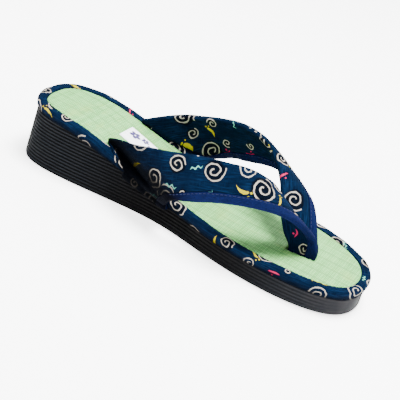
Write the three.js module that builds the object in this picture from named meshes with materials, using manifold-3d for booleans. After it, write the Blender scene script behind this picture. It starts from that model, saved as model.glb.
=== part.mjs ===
// A left zori sandal: ribbed wedge sole, rush-covered insole board, padded cloth rand round the board, and
// two wide padded cloth straps joined at the toe post. Millimetres, +X to the toe, +Y to the outer side, +Z up.
import * as THREE from "three";
import { mergeVertices } from "three/addons/utils/BufferGeometryUtils.js";
import Module from "manifold-3d";

// Driving sizes of the whole sandal
const sandalLength = 245.2;
const sandalWidth = 91.6;
const foreHeight = 17.3; // rush surface above the floor at the waist, its lowest place
const heelLift = 23; // how much higher the rush surface stands at the heel
const boardDepth = 6; // rush surface to the underside of board and rand
const fitGap = 0.3; // between pieces that touch

// Sole
const ribPitch = 2.2;
const ribDepth = 0.7;
const soleInsetTop = 1.6; // sole's upper edge, in from the rand's outermost line
const soleInsetBottom = 1;
const soleEdgeRound = 0.8;
const toeSpring = 1.2;
const heelRise = 3.6; // how far the tread rises at the very back of the heel
const springStart = 0.33; // where the toe spring starts, as a share of the half length
const heelStart = 0.9; // where the heel's rise starts, the same way

// Rand and board
const randWidth = 6.3; // of the rand's top, from its outermost line
const randCrown = 0.9; // how proud of the rush the padded rand stands
const randWall = 2.1; // rand's outer wall, outside the board's edge
const randLip = 1.1; // rand's thickness over and under the board
const randTuck = 5.4; // how far in the rand's lower lip reaches

// Straps
const strapThickness = 3.6;
const strapRise = 46; // highest point of the straps' back edge over the rush
const tabThickness = 2.4; // strap end, pressed flat under the board
const tabLength = 13; // strap end, in from the rand's outermost line
const bindingWidth = 6.5;
const bindingProud = 0.25; // binding's step over the strap's face
const tongueThickness = 2; // strap's edge inside the binding
const tongueInset = 1.4; // from the strap's front edge to the tongue's end
const edgeFlat = 0.35; // of a strap edge's height that stays upright, where the rest is rounded
const edgeShoulder = 1.15; // where the back edge's rounding ends, in half thicknesses from the edge
const roundedShoulder = 0.85; // height at that place, as a share of half the thickness
const bindingBevel = 0.15; // by which the binding's inner edge is lower than its middle
const bindingShoulder = 0.92; // binding's height where its rounding starts, as a share of its middle's

// Toe post
const postX = 76.9; // from the middle of the sandal's length
const postY = -7.9;
const postLength = 18.3; // of the post's section, front to back
const postTurn = 6.5; // degrees that the post's section is turned
const postDepth = 4; // how far the post goes into the sole

// Label
const labelLength = 35;
const labelWidth = 19;
const labelThickness = 0.5;
const labelX = -47.5;
const labelY = 4.5;

// How finely the curves are cut
const outlineSteps = 64;
const strapSteps = 2; // between two sections of a strap
const profileSteps = 32;
const labelSteps = 24;

const halfLength = sandalLength / 2;
const halfWidth = sandalWidth / 2;
const strapHalf = strapThickness / 2;
const tabHalf = tabThickness / 2;
const tongueHalf = tongueThickness / 2;

// Plan outline as waves round the sandal: along is a share of the half length, across and lean of the half width
const outlineWaves = [
  { turns: 1, along: 0.978, across: 0.982, lean: -0.053 },
  { turns: 2, along: 0, across: 0.083, lean: -0.129 },
  { turns: 3, along: 0.051, across: 0.157, lean: -0.012 },
  { turns: 4, along: 0, across: -0.052, lean: 0.031 },
  { turns: 5, along: -0.029, across: 0.012, lean: 0 },
];

// Rush surface in equal steps from heel to toe, as shares of the heel's lift
const wedgeRise = [1, 0.99, 0.9, 0.69, 0.435, 0.215, 0.075, 0.01, 0, 0.015, 0.03, 0.03, 0.015];

// Strap sections: x as a share of the half length, y of the half width towards the strap's own side, rise over the
// rush as a share of the strap's rise, and crown, the section's outward bow, as a share of its width
const medialSections = [
  { backX: -0.42, backY: 0.66, backRise: 0.05, frontX: -0.06, frontY: 0.83, frontRise: 0.03, crown: -0.06 },
  { backX: -0.51, backY: 0.49, backRise: 0.05, frontX: -0.035, frontY: 0.92, frontRise: 0.14, crown: -0.07 },
  { backX: -0.45, backY: 0.56, backRise: 0.175, frontX: -0.01, frontY: 0.955, frontRise: 0.21, crown: -0.02 },
  { backX: -0.36, backY: 0.69, backRise: 0.34, frontX: 0.03, frontY: 0.97, frontRise: 0.27, crown: 0.02 },
  { backX: -0.235, backY: 0.79, backRise: 0.56, frontX: 0.07, frontY: 0.98, frontRise: 0.33, crown: 0.04 },
  { backX: -0.113, backY: 0.834, backRise: 0.735, frontX: 0.12, frontY: 0.985, frontRise: 0.4, crown: 0.05 },
  { backX: -0.008, backY: 0.845, backRise: 0.87, frontX: 0.188, frontY: 0.978, frontRise: 0.49, crown: 0.05 },
  { backX: 0.086, backY: 0.841, backRise: 0.96, frontX: 0.272, frontY: 0.956, frontRise: 0.57, crown: 0.05 },
  { backX: 0.17, backY: 0.8, backRise: 1, frontX: 0.353, frontY: 0.915, frontRise: 0.622, crown: 0.05 },
  { backX: 0.239, backY: 0.705, backRise: 1, frontX: 0.431, frontY: 0.841, frontRise: 0.637, crown: 0.05 },
  { backX: 0.31, backY: 0.561, backRise: 0.94, frontX: 0.506, frontY: 0.716, frontRise: 0.609, crown: 0.05 },
  { backX: 0.392, backY: 0.389, backRise: 0.787, frontX: 0.583, frontY: 0.52, frontRise: 0.502, crown: 0.04 },
];
const lateralSections = [
  { backX: -0.49, backY: 0.77, backRise: 0.04, frontX: -0.12, frontY: 0.985, frontRise: 0.07, crown: -0.04 },
  { backX: -0.52, backY: 0.62, backRise: 0.03, frontX: -0.08, frontY: 1.005, frontRise: 0.135, crown: -0.05 },
  { backX: -0.475, backY: 0.63, backRise: 0.14, frontX: -0.04, frontY: 1.01, frontRise: 0.2, crown: -0.02 },
  { backX: -0.4, backY: 0.68, backRise: 0.31, frontX: 0, frontY: 0.985, frontRise: 0.275, crown: 0.02 },
  { backX: -0.3, backY: 0.725, backRise: 0.51, frontX: 0.045, frontY: 0.93, frontRise: 0.345, crown: 0.04 },
  { backX: -0.2, backY: 0.735, backRise: 0.67, frontX: 0.09, frontY: 0.87, frontRise: 0.395, crown: 0.05 },
  { backX: -0.086, backY: 0.681, backRise: 0.845, frontX: 0.145, frontY: 0.815, frontRise: 0.46, crown: 0.05 },
  { backX: 0.01, backY: 0.63, backRise: 0.95, frontX: 0.229, frontY: 0.74, frontRise: 0.55, crown: 0.05 },
  { backX: 0.1, backY: 0.55, backRise: 0.995, frontX: 0.31, frontY: 0.65, frontRise: 0.6, crown: 0.05 },
  { backX: 0.194, backY: 0.421, backRise: 1, frontX: 0.395, frontY: 0.535, frontRise: 0.6, crown: 0.05 },
  { backX: 0.27, backY: 0.27, backRise: 0.93, frontX: 0.478, frontY: 0.395, frontRise: 0.57, crown: 0.05 },
  { backX: 0.35, backY: 0.09, backRise: 0.79, frontX: 0.577, frontY: 0.19, frontRise: 0.475, crown: 0.04 },
];

// Toe post sections: back and front as shares of the post's length from its middle, rise as before, and apart, the
// distance of the strap's middle from the post's own plane, as a share of half the strap's thickness
const postSections = [
  { back: -1.13, front: 0.33, backRise: 0.41, frontRise: 0.22, apart: 1 },
  { back: -0.84, front: 0.465, backRise: 0.2, frontRise: 0.1, apart: 0.93 },
  { back: -0.5, front: 0.5, backRise: 0.02, frontRise: 0.02, apart: 0.93 },
];

// Each strap's own side, its sections, and where its end goes under the board, as shares of the half length
const straps = {
  medial: { side: -1, sections: medialSections, tabRear: -0.35, tabFront: -0.075 },
  lateral: { side: 1, sections: lateralSections, tabRear: -0.44, tabFront: -0.16 },
};

const wasm = await Module();
wasm.setup();

// Closed solids from loose triangles, turned the right way round
function signedVolume(points, triangles) {
  let sum = 0;
  for (let i = 0; i < triangles.length; i += 3) {
    const [a, b, c] = [points[triangles[i]], points[triangles[i + 1]], points[triangles[i + 2]]];
    sum += a.dot(new THREE.Vector3().crossVectors(b, c));
  }
  return sum / 6;
}

function solidFromPoints(points, triangles) {
  const turned = signedVolume(points, triangles) < 0;
  const order = turned ? [...triangles].reverse() : triangles;
  const vertProperties = new Float32Array(points.flatMap((p) => [p.x, p.y, p.z]));
  return new wasm.Manifold(new wasm.Mesh({ numProp: 3, vertProperties, triVerts: new Uint32Array(order) }));
}

function solidFromGeometry(geometry) {
  const bare = geometry.clone();
  bare.deleteAttribute("normal");
  bare.deleteAttribute("uv");
  const merged = mergeVertices(bare, 1e-4);
  const at = merged.getAttribute("position");
  const points = Array.from({ length: at.count }, (_, i) => new THREE.Vector3().fromBufferAttribute(at, i));
  return solidFromPoints(points, Array.from(merged.index.array));
}

function geometryFromSolid(solid) {
  const made = solid.getMesh();
  const geometry = new THREE.BufferGeometry();
  geometry.setAttribute("position", new THREE.BufferAttribute(made.vertProperties, made.numProp));
  geometry.setIndex(new THREE.BufferAttribute(made.triVerts, 1));
  geometry.computeVertexNormals();
  return geometry;
}

function boxSolid(size, centre, turn) {
  const box = new THREE.BoxGeometry(size.x, size.y, size.z);
  box.rotateZ(turn);
  box.translate(centre.x, centre.y, centre.z);
  return solidFromGeometry(box);
}

// Plan outline, its inward offset, and its edge at a place along the sandal
function outlinePoint(angle) {
  const point = new THREE.Vector2();
  for (const wave of outlineWaves) {
    point.x += halfLength * wave.along * Math.cos(wave.turns * angle);
    point.y += halfWidth * (wave.across * Math.sin(wave.turns * angle) + wave.lean * Math.cos(wave.turns * angle));
  }
  return point;
}

function insetPoint(angle, inset) {
  const step = 0.01;
  const run = outlinePoint(angle + step).sub(outlinePoint(angle - step)).normalize();
  return outlinePoint(angle).add(new THREE.Vector2(-run.y, run.x).multiplyScalar(inset));
}

function edgeY(x, side) {
  let [low, high] = [0, Math.PI];
  for (let i = 0; i < 30; i += 1) {
    const middle = (low + high) / 2;
    if (outlinePoint(middle).x > x) low = middle;
    else high = middle;
  }
  return outlinePoint(side * low).y;
}

// Heights along the sandal: rush surface, the sole's top under the board, and the tread
function rushHeight(x) {
  const last = wedgeRise.length - 1;
  const place = THREE.MathUtils.clamp((x / halfLength + 1) / 2, 0, 1) * last;
  const index = Math.min(Math.floor(place), last - 1);
  const share = place - index;
  const value = (i) => wedgeRise[THREE.MathUtils.clamp(i, 0, last)];
  const slope = (i) => (value(i + 1) - value(i - 1)) / 2;
  const [from, to] = [value(index), value(index + 1)];
  const cubic = 2 * (from - to) + slope(index) + slope(index + 1);
  const square = 3 * (to - from) - 2 * slope(index) - slope(index + 1);
  const rise = ((cubic * share + square) * share + slope(index)) * share + from;
  return foreHeight + heelLift * rise;
}

function soleTop(x) {
  return rushHeight(x) - boardDepth - fitGap;
}

function treadHeight(x) {
  const place = x / halfLength;
  const spring = Math.max(0, (place - springStart) / (1 - springStart));
  const heel = Math.max(0, (-place - heelStart) / (1 - heelStart));
  return toeSpring * spring ** 2 + heelRise * heel ** 2;
}

// Solids that follow the outline: a disc of stacked levels, and a ring swept from a closed section
function stationPoint(shape, station, steps, inset, height) {
  const plan = shape((station / steps) * 2 * Math.PI, inset);
  return new THREE.Vector3(plan.x, plan.y, height(plan.x));
}

function discSolid(shape, steps, levels) {
  const points = [];
  const triangles = [];
  for (const level of levels)
    for (let i = 0; i < steps; i += 1)
      points.push(stationPoint(shape, i, steps, level.inset, level.height));
  for (let k = 0; k + 1 < levels.length; k += 1)
    for (let i = 0; i < steps; i += 1) {
      const [a, b] = [k * steps + i, k * steps + ((i + 1) % steps)];
      triangles.push(a, b, b + steps, a, b + steps, a + steps);
    }
  const top = (levels.length - 1) * steps;
  for (let i = 0; i < steps / 2; i += 1) {
    const [a, b, c, d] = [i, i + 1, (steps - i - 1) % steps, (steps - i) % steps];
    if (b !== c) triangles.push(a, c, b, top + a, top + b, top + c);
    if (a !== d) triangles.push(a, d, c, top + a, top + c, top + d);
  }
  return solidFromPoints(points, triangles);
}

function ringSolid(steps, section) {
  const points = [];
  const triangles = [];
  const count = section.length;
  for (let i = 0; i < steps; i += 1)
    for (const level of section)
      points.push(stationPoint(insetPoint, i, steps, level.inset, level.height));
  for (let i = 0; i < steps; i += 1)
    for (let k = 0; k < count; k += 1) {
      const [here, next] = [i * count, ((i + 1) % steps) * count];
      const after = (k + 1) % count;
      triangles.push(here + k, next + k, next + after, here + k, next + after, here + after);
    }
  return solidFromPoints(points, triangles);
}

const overRush = (rise) => (x) => rushHeight(x) + rise;

// Rand's outer form from its lower edge over the top to its inner edge
const randForm = [
  { inset: soleInsetTop, rise: -boardDepth },
  { inset: 0.8, rise: -0.73 * boardDepth },
  { inset: 0.25, rise: -0.43 * boardDepth },
  { inset: 0, rise: -0.15 * boardDepth },
  { inset: 0.35, rise: 0.1 * randCrown },
  { inset: 0.24 * randWidth, rise: 0.75 * randCrown },
  { inset: 0.54 * randWidth, rise: randCrown },
  { inset: 0.86 * randWidth, rise: 0.6 * randCrown },
  { inset: randWidth, rise: -0.1 },
];

function levelsOf(form) {
  return form.map((row) => ({ inset: row.inset, height: overRush(row.rise) }));
}

function makeRand() {
  const wrap = [
    { inset: randWidth, rise: -randLip },
    { inset: randWall, rise: -randLip },
    { inset: randWall, rise: randLip - boardDepth },
    { inset: randTuck, rise: randLip - boardDepth },
    { inset: randTuck, rise: -boardDepth },
  ];
  return ringSolid(outlineSteps, levelsOf([...randForm, ...wrap]));
}

function makeBoard() {
  const form = [
    { inset: randTuck + fitGap, rise: -boardDepth },
    { inset: randTuck + fitGap, rise: randLip + fitGap - boardDepth },
    { inset: randWall + fitGap, rise: randLip + fitGap - boardDepth },
    { inset: randWall + fitGap, rise: -randLip - fitGap },
    { inset: randWidth + fitGap, rise: -randLip - fitGap },
    { inset: randWidth + fitGap, rise: 0 },
  ];
  return discSolid(insetPoint, outlineSteps, levelsOf(form));
}

// The room that board and rand take, grown by the gap, which the straps keep clear of
function makeBoardRoom() {
  const last = randForm.length - 1;
  const form = randForm.map((row, i) => {
    const [before, after] = [randForm[Math.max(i - 1, 0)], randForm[Math.min(i + 1, last)]];
    const run = new THREE.Vector2(after.inset - before.inset, after.rise - before.rise).normalize();
    return { inset: row.inset - fitGap * run.y, rise: row.rise + fitGap * run.x };
  });
  form[0].rise = -boardDepth - fitGap / 3;
  form[last].rise = fitGap;
  return discSolid(insetPoint, outlineSteps, levelsOf(form));
}

// Sole: a stack of ribs parallel to the floor, cut to the wedge's side profile
function makeRibStack() {
  const top = foreHeight + heelLift;
  const count = Math.ceil((2 * top) / ribPitch);
  const levels = [{ z: 0, groove: 0, edge: soleEdgeRound }, { z: soleEdgeRound, groove: 0, edge: 0 }];
  for (let k = 2; k <= count; k += 1) levels.push({ z: (k * ribPitch) / 2, groove: k % 2, edge: 0 });
  const stack = levels.map((level) => ({ inset: level, height: () => level.z }));
  const shape = (angle, level) => {
    const place = outlinePoint(angle).x / halfLength;
    const fade = THREE.MathUtils.smoothstep(1 - place, 0.02, 0.3);
    const lean = Math.min(1, level.z / soleTop(place * halfLength));
    const side = THREE.MathUtils.lerp(soleInsetBottom, soleInsetTop, lean);
    return insetPoint(angle, side + level.edge + level.groove * ribDepth * fade);
  };
  return discSolid(shape, outlineSteps, stack);
}

function makeSideProfile() {
  const reach = 1.03 * halfLength;
  const places = Array.from({ length: profileSteps + 1 }, (_, i) => (2 * i / profileSteps - 1) * reach);
  const tread = places.map((x) => new THREE.Vector2(x, treadHeight(x)));
  const top = places.map((x) => new THREE.Vector2(x, soleTop(x))).reverse();
  const wide = 2 * sandalWidth;
  const geometry = new THREE.ExtrudeGeometry(new THREE.Shape([...tread, ...top]), { depth: wide, bevelEnabled: false });
  geometry.rotateX(Math.PI / 2);
  geometry.translate(0, wide / 2, 0);
  return solidFromGeometry(geometry);
}

// Straps: a surface through sections from the tab under the board, round the rand, over the foot and down the post
function tabRow(strap, outward, rise) {
  return (v) => {
    const x = halfLength * THREE.MathUtils.lerp(strap.tabRear, strap.tabFront, v);
    return new THREE.Vector3(x, edgeY(x, strap.side) + strap.side * outward, rushHeight(x) + rise);
  };
}

function sectionRow(strap, section) {
  const back = new THREE.Vector3(section.backX * halfLength, strap.side * section.backY * halfWidth, 0);
  const front = new THREE.Vector3(section.frontX * halfLength, strap.side * section.frontY * halfWidth, 0);
  back.z = rushHeight(back.x) + fitGap + section.backRise * strapRise;
  front.z = rushHeight(front.x) + fitGap + section.frontRise * strapRise;
  const bow = new THREE.Vector3(0, strap.side, 0.8).normalize().multiplyScalar(section.crown * back.distanceTo(front));
  return (v) => back.clone().lerp(front, v).addScaledVector(bow, 4 * v * (1 - v));
}

function postRow(strap, section, lift) {
  const along = new THREE.Vector2(1, 0).rotateAround(new THREE.Vector2(), THREE.MathUtils.degToRad(postTurn));
  const apart = strap.side * section.apart * strapHalf;
  const place = (share, rise) => {
    const x = postX + along.x * share * postLength - along.y * apart;
    const y = postY + along.y * share * postLength + along.x * apart;
    return new THREE.Vector3(x, y, rushHeight(x) + rise * strapRise + lift);
  };
  const [back, front] = [place(section.back, section.backRise), place(section.front, section.frontRise)];
  return (v) => back.clone().lerp(front, v);
}

function strapRows(strap, grow) {
  const underBoard = -boardDepth - fitGap - tabHalf;
  const tread = postSections[postSections.length - 1];
  return [
    tabRow(strap, -tabLength - grow, underBoard),
    tabRow(strap, -soleInsetTop, underBoard),
    tabRow(strap, strapHalf, fitGap - boardDepth),
    tabRow(strap, strapHalf + 2 * fitGap, -0.4 * boardDepth),
    ...strap.sections.map((section) => sectionRow(strap, section)),
    ...postSections.map((section) => postRow(strap, section, 0)),
    postRow(strap, { ...tread, backRise: 0, frontRise: 0 }, -boardDepth - fitGap - postDepth - grow),
  ];
}

function strapPoint(rows, u, v) {
  return new THREE.CatmullRomCurve3(rows.map((row) => row(v))).getPoint(u);
}

function strapFrame(strap, rows, u) {
  const width = strapPoint(rows, u, 0).distanceTo(strapPoint(rows, u, 1));
  const flat = THREE.MathUtils.smoothstep(u * (rows.length - 1), 1, 3);
  const swell = THREE.MathUtils.lerp(tabHalf / strapHalf, 1, flat);
  const raised = (inset, height, grow) => {
    const v = 1 - inset / width;
    const step = 0.004;
    const [before, after] = [Math.max(u - step, 0), Math.min(u + step, 1)];
    const along = strapPoint(rows, after, v).sub(strapPoint(rows, before, v));
    const across = strapPoint(rows, u, v + step).sub(strapPoint(rows, u, v - step));
    const normal = across.cross(along).multiplyScalar(-strap.side).normalize();
    return strapPoint(rows, u, v).addScaledVector(normal, height * swell + Math.sign(height) * grow);
  };
  return { width, raised };
}

// A strap's cross-section: inset from the front edge, and height off the middle surface. Grown, it is the room that
// a neighbour leaves for it.
function coreSection(width, grow) {
  const body = width - bindingWidth;
  const rounding = grow > 0 ? 1 : roundedShoulder;
  const bodyEnd = bindingWidth + 1.4 * fitGap - grow;
  const upper = [
    { inset: width - edgeFlat * strapHalf + grow, height: edgeFlat * strapHalf },
    { inset: width - edgeShoulder * strapHalf, height: rounding * strapHalf },
    { inset: bindingWidth + 0.75 * body, height: strapHalf },
    { inset: bindingWidth + 0.4 * body, height: strapHalf },
    { inset: bodyEnd, height: strapHalf },
    { inset: bodyEnd, height: tongueHalf },
    { inset: tongueInset - grow, height: tongueHalf },
  ];
  return [...upper, ...upper.map((row) => ({ ...row, height: -row.height })).reverse()];
}

function bindingSection(width, grow) {
  const proud = strapHalf + bindingProud;
  const upper = [
    { inset: bindingWidth + grow, height: proud - bindingBevel },
    { inset: 0.5 * bindingWidth, height: proud },
    { inset: 0.55 * strapHalf, height: bindingShoulder * proud },
    { inset: -edgeFlat * strapHalf - grow, height: edgeFlat * proud },
  ];
  return [...upper, ...upper.map((row) => ({ ...row, height: -row.height })).reverse()];
}

function sweepStrap(strap, sectionOf, grow) {
  const rows = strapRows(strap, grow);
  const steps = (rows.length - 1) * strapSteps;
  const points = [];
  const triangles = [];
  let count = 0;
  for (let i = 0; i <= steps; i += 1) {
    const { width, raised } = strapFrame(strap, rows, i / steps);
    const section = sectionOf(width, grow);
    count = section.length;
    points.push(...section.map((row) => raised(row.inset, row.height, grow)));
    if (i > 0 && i < steps) continue;
    const flat = section.map((row) => new THREE.Vector2(row.inset, row.height));
    const base = i * count;
    for (const [a, b, c] of THREE.ShapeUtils.triangulateShape(flat, []))
      triangles.push(...(i === 0 ? [base + a, base + b, base + c] : [base + c, base + b, base + a]));
  }
  for (let i = 0; i < steps; i += 1)
    for (let k = 0; k < count; k += 1) {
      const [here, next, after] = [i * count, (i + 1) * count, (k + 1) % count];
      triangles.push(here + k, next + k, next + after, here + k, next + after, here + after);
    }
  return solidFromPoints(points, triangles);
}

// Label: a thin plate with rounded corners that follows the rush
function labelPoint(angle) {
  const square = 0.36;
  const part = (value) => Math.sign(value) * Math.abs(value) ** square;
  const x = labelX + (labelLength / 2) * part(Math.cos(angle));
  return new THREE.Vector2(x, labelY + (labelWidth / 2) * part(Math.sin(angle)));
}

function makeLabel() {
  const levels = [{ height: overRush(fitGap) }, { height: overRush(fitGap + labelThickness) }];
  return discSolid(labelPoint, labelSteps, levels);
}

// Each side of the post's own plane, held off it by half the gap
function postHalf(side) {
  const deep = 2 * sandalWidth;
  const turn = THREE.MathUtils.degToRad(postTurn);
  const away = new THREE.Vector2(-Math.sin(turn), Math.cos(turn)).multiplyScalar(side * (deep / 2 + fitGap / 2));
  const size = new THREE.Vector3(2 * sandalLength, deep, 4 * (strapRise + heelLift));
  return boxSolid(size, new THREE.Vector3(postX + away.x, postY + away.y, 0), turn);
}

function makePieces() {
  const postRoom = boxSolid(
    new THREE.Vector3(2 * postLength, 1.2 * postLength, 8 * boardDepth),
    new THREE.Vector3(postX, postY, foreHeight),
    0,
  );
  const boardRoom = makeBoardRoom().subtract(postRoom);
  const core = {};
  const coreRoom = {};
  const bindingRoom = {};
  for (const [name, strap] of Object.entries(straps)) {
    core[name] = sweepStrap(strap, coreSection, 0);
    coreRoom[name] = sweepStrap(strap, coreSection, fitGap);
    bindingRoom[name] = sweepStrap(strap, bindingSection, fitGap);
  }
  const coresRoom = coreRoom.medial.add(coreRoom.lateral);
  const strapRoom = coresRoom.add(bindingRoom.medial).add(bindingRoom.lateral);
  const binding = (strap) =>
    sweepStrap(strap, bindingSection, 0)
      .intersect(postHalf(strap.side))
      .subtract(coresRoom)
      .subtract(boardRoom);
  return {
    sole: makeRibStack().intersect(makeSideProfile()).subtract(strapRoom),
    insole: makeBoard().subtract(strapRoom.intersect(postRoom)),
    rand: makeRand(),
    upper: core.medial.add(core.lateral).subtract(boardRoom),
    binding_medial: binding(straps.medial),
    binding_lateral: binding(straps.lateral),
    label: makeLabel(),
  };
}

const finishes = {
  sole: { color: 0x2b2d33, roughness: 0.85 },
  insole: { color: 0xb5d29a, roughness: 0.8 },
  rand: { color: 0x14284a, roughness: 0.9 },
  upper: { color: 0x17305a, roughness: 0.9 },
  binding_medial: { color: 0x25357a, roughness: 0.85 },
  binding_lateral: { color: 0x25357a, roughness: 0.85 },
  label: { color: 0xf4f4f0, roughness: 0.7 },
};

// The sandal stands on the floor, with the middle of its box over the origin
const sandal = new THREE.Group();
for (const [name, solid] of Object.entries(makePieces())) {
  const material = new THREE.MeshStandardMaterial({ ...finishes[name], metalness: 0 });
  const mesh = new THREE.Mesh(geometryFromSolid(solid), material);
  mesh.name = name;
  sandal.add(mesh);
}
const box = new THREE.Box3().setFromObject(sandal);
const middle = box.getCenter(new THREE.Vector3());
for (const mesh of sandal.children) mesh.position.set(-middle.x, -middle.y, -box.min.z);

export default sandal;
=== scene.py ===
import math

import bmesh
import bpy
import numpy as np
from mathutils import Matrix, Vector


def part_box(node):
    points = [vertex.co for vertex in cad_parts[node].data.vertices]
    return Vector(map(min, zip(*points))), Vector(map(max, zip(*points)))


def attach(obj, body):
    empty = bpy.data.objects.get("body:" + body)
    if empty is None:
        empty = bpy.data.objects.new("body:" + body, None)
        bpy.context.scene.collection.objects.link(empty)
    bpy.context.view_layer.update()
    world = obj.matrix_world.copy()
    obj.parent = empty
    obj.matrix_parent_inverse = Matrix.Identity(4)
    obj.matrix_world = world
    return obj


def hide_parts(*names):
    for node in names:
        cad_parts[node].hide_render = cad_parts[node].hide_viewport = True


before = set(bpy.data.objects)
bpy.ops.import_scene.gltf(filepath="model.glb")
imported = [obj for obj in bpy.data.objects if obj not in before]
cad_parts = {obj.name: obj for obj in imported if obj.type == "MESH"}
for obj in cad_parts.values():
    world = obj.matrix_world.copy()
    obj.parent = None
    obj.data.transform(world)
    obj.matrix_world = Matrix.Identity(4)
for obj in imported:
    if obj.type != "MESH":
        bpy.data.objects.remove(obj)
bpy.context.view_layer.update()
print("frame loaded")

# All sizes are millimetres until a mesh is made. +X is the toe, +Y the outer side of this left sandal
mm = 0.001
uvMillimetres = 100  # one unit of a UV map

sandal = {
    "length": 245.2,
    "width": 91.6,
    "foreHeight": 17.3,  # rush surface over the floor at its lowest place
    "heelLift": 23,
    "boardDepth": 6,
    "gap": 0.3,
    "labelMiddle": 4.5,  # y of the label's middle, which the frame's label gives the shift by
}
halfLength = sandal["length"] / 2
halfWidth = sandal["width"] / 2
boardDepth = sandal["boardDepth"]
gap = sandal["gap"]
labelLow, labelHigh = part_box("label")
yShift = (labelLow.y + labelHigh.y) / 2 / mm - sandal["labelMiddle"]

# Plan outline as waves round the sandal, along and across as shares of the half length and half width
outlineWaves = [
    {"turns": 1, "along": 0.978, "across": 0.982, "lean": -0.053},
    {"turns": 2, "along": 0, "across": 0.083, "lean": -0.129},
    {"turns": 3, "along": 0.051, "across": 0.157, "lean": -0.012},
    {"turns": 4, "along": 0, "across": -0.052, "lean": 0.031},
    {"turns": 5, "along": -0.029, "across": 0.012, "lean": 0},
]

# Rush surface in equal steps from heel to toe, as shares of the heel's lift
wedgeRise = np.array([1, 0.99, 0.9, 0.69, 0.435, 0.215, 0.075, 0.01, 0, 0.015, 0.03, 0.03, 0.015])


def smooth(value, low, high):
    share = np.clip((np.asarray(value, float) - low) / (high - low), 0, 1)
    return share * share * (3 - 2 * share)


def unit(vectors):
    return vectors / np.maximum(np.linalg.norm(vectors, axis=-1, keepdims=True), 1e-12)


def profileNormals(curve):
    run = np.gradient(curve, axis=0)
    return unit(np.stack([-run[:, 1], run[:, 0]], -1))


def roundAngles(count):
    return np.linspace(0, 2 * math.pi, count + 1)[:-1]


def outlinePoint(angle):
    angle = np.asarray(angle, float)
    x = sum(w["along"] * np.cos(w["turns"] * angle) for w in outlineWaves)
    y = sum(
        w["across"] * np.sin(w["turns"] * angle) + w["lean"] * np.cos(w["turns"] * angle)
        for w in outlineWaves
    )
    return np.stack([x * halfLength, y * halfWidth], -1)


def inwardNormal(angle):
    step = 0.01
    run = unit(outlinePoint(angle + step) - outlinePoint(angle - step))
    return np.stack([-run[..., 1], run[..., 0]], -1)


def insetPoint(angle, inset):
    angle, inset = np.broadcast_arrays(np.asarray(angle, float), np.asarray(inset, float))
    return outlinePoint(angle) + inwardNormal(angle) * inset[..., None]


def edgeTable(side, inset):
    angles = np.linspace(0, math.pi, 3000)
    points = insetPoint(side * angles, inset)
    return points[np.argsort(points[:, 0])]


outerEdges = {side: edgeTable(side, 0) for side in (-1, 1)}


def edgeY(x, side):
    return np.interp(x, *outerEdges[side].T)


def rushHeight(x):
    last = len(wedgeRise) - 1
    place = np.clip((np.asarray(x, float) / halfLength + 1) / 2, 0, 1) * last
    index = np.minimum(np.floor(place).astype(int), last - 1)
    share = place - index

    def value(i):
        return wedgeRise[np.clip(i, 0, last)]

    def slope(i):
        return (value(i + 1) - value(i - 1)) / 2

    start, end = value(index), value(index + 1)
    cubic = 2 * (start - end) + slope(index) + slope(index + 1)
    square = 3 * (end - start) - 2 * slope(index) - slope(index + 1)
    rise = ((cubic * share + square) * share + slope(index)) * share + start
    return sandal["foreHeight"] + sandal["heelLift"] * rise


def soleTop(x):
    return rushHeight(x) - boardDepth - gap


def makeMesh(name, points, faces, corners=None, edges=()):
    # points in millimetres, corners the UV of every face corner in millimetres
    mesh = bpy.data.meshes.new(name)
    placed = (np.asarray(points, float) + np.array([0, yShift, 0])) * mm
    mesh.from_pydata(placed.tolist(), list(edges), [list(map(int, f)) for f in faces])
    if corners is not None:
        layer = mesh.uv_layers.new(name="cloth")
        flat = np.concatenate([np.asarray(c, float) for c in corners]) / uvMillimetres
        layer.data.foreach_set("uv", flat.astype(np.float32).ravel())
    mesh.validate()
    mesh.shade_smooth()
    obj = bpy.data.objects.new(name, mesh)
    bpy.context.scene.collection.objects.link(obj)
    return obj


def editMesh(obj, change):
    mesh = bmesh.new()
    mesh.from_mesh(obj.data)
    change(mesh)
    mesh.to_mesh(obj.data)
    mesh.free()


def turnOutward(obj):
    def turn(mesh):
        if mesh.calc_volume(signed=True) < 0:
            bmesh.ops.reverse_faces(mesh, faces=mesh.faces)

    editMesh(obj, turn)
    return obj


def dropDoubles(mesh):
    bmesh.ops.remove_doubles(mesh, verts=mesh.verts, dist=1e-7)
    bmesh.ops.dissolve_degenerate(mesh, dist=1e-7, edges=mesh.edges)


def dropLoose(mesh):
    bmesh.ops.delete(mesh, geom=[v for v in mesh.verts if not v.link_faces], context="VERTS")


def addAttribute(obj, name, values, kind="FLOAT"):
    made = obj.data.attributes.new(name, kind, "POINT")
    field = "value" if kind == "FLOAT" else "vector"
    made.data.foreach_set(field, np.asarray(values, np.float32).ravel())


def gridFaces(rows, columns, closeRows, closeColumns, uv):
    # uv has one more row or column than the points where the grid closes on itself
    faces = []
    corners = []
    for i in range(rows if closeRows else rows - 1):
        for k in range(columns if closeColumns else columns - 1):
            i2, k2 = (i + 1) % rows, (k + 1) % columns
            faces.append((i * columns + k, i2 * columns + k, i2 * columns + k2, i * columns + k2))
            corners.append((uv[i, k], uv[i + 1, k], uv[i + 1, k + 1], uv[i, k + 1]))
    return faces, corners


def slabFaces(rows, columns, holes):
    # an upper sheet, the same sheet below it turned over, and the wall between them
    total = rows * columns
    faces = []
    sides = {}
    for i in range(rows - 1):
        for k in range(columns - 1):
            if holes is not None and holes[i, k]:
                continue
            near, far = i * columns + k, (i + 1) * columns + k
            quad = (near, far, far + 1, near + 1)
            faces.append(quad)
            faces.append(tuple(total + index for index in quad[::-1]))
            sides.update(dict.fromkeys(zip(quad, quad[1:] + quad[:1])))
    for a, b in sides:
        if (b, a) not in sides:
            faces.append((b, a, total + a, total + b))
    return faces


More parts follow.
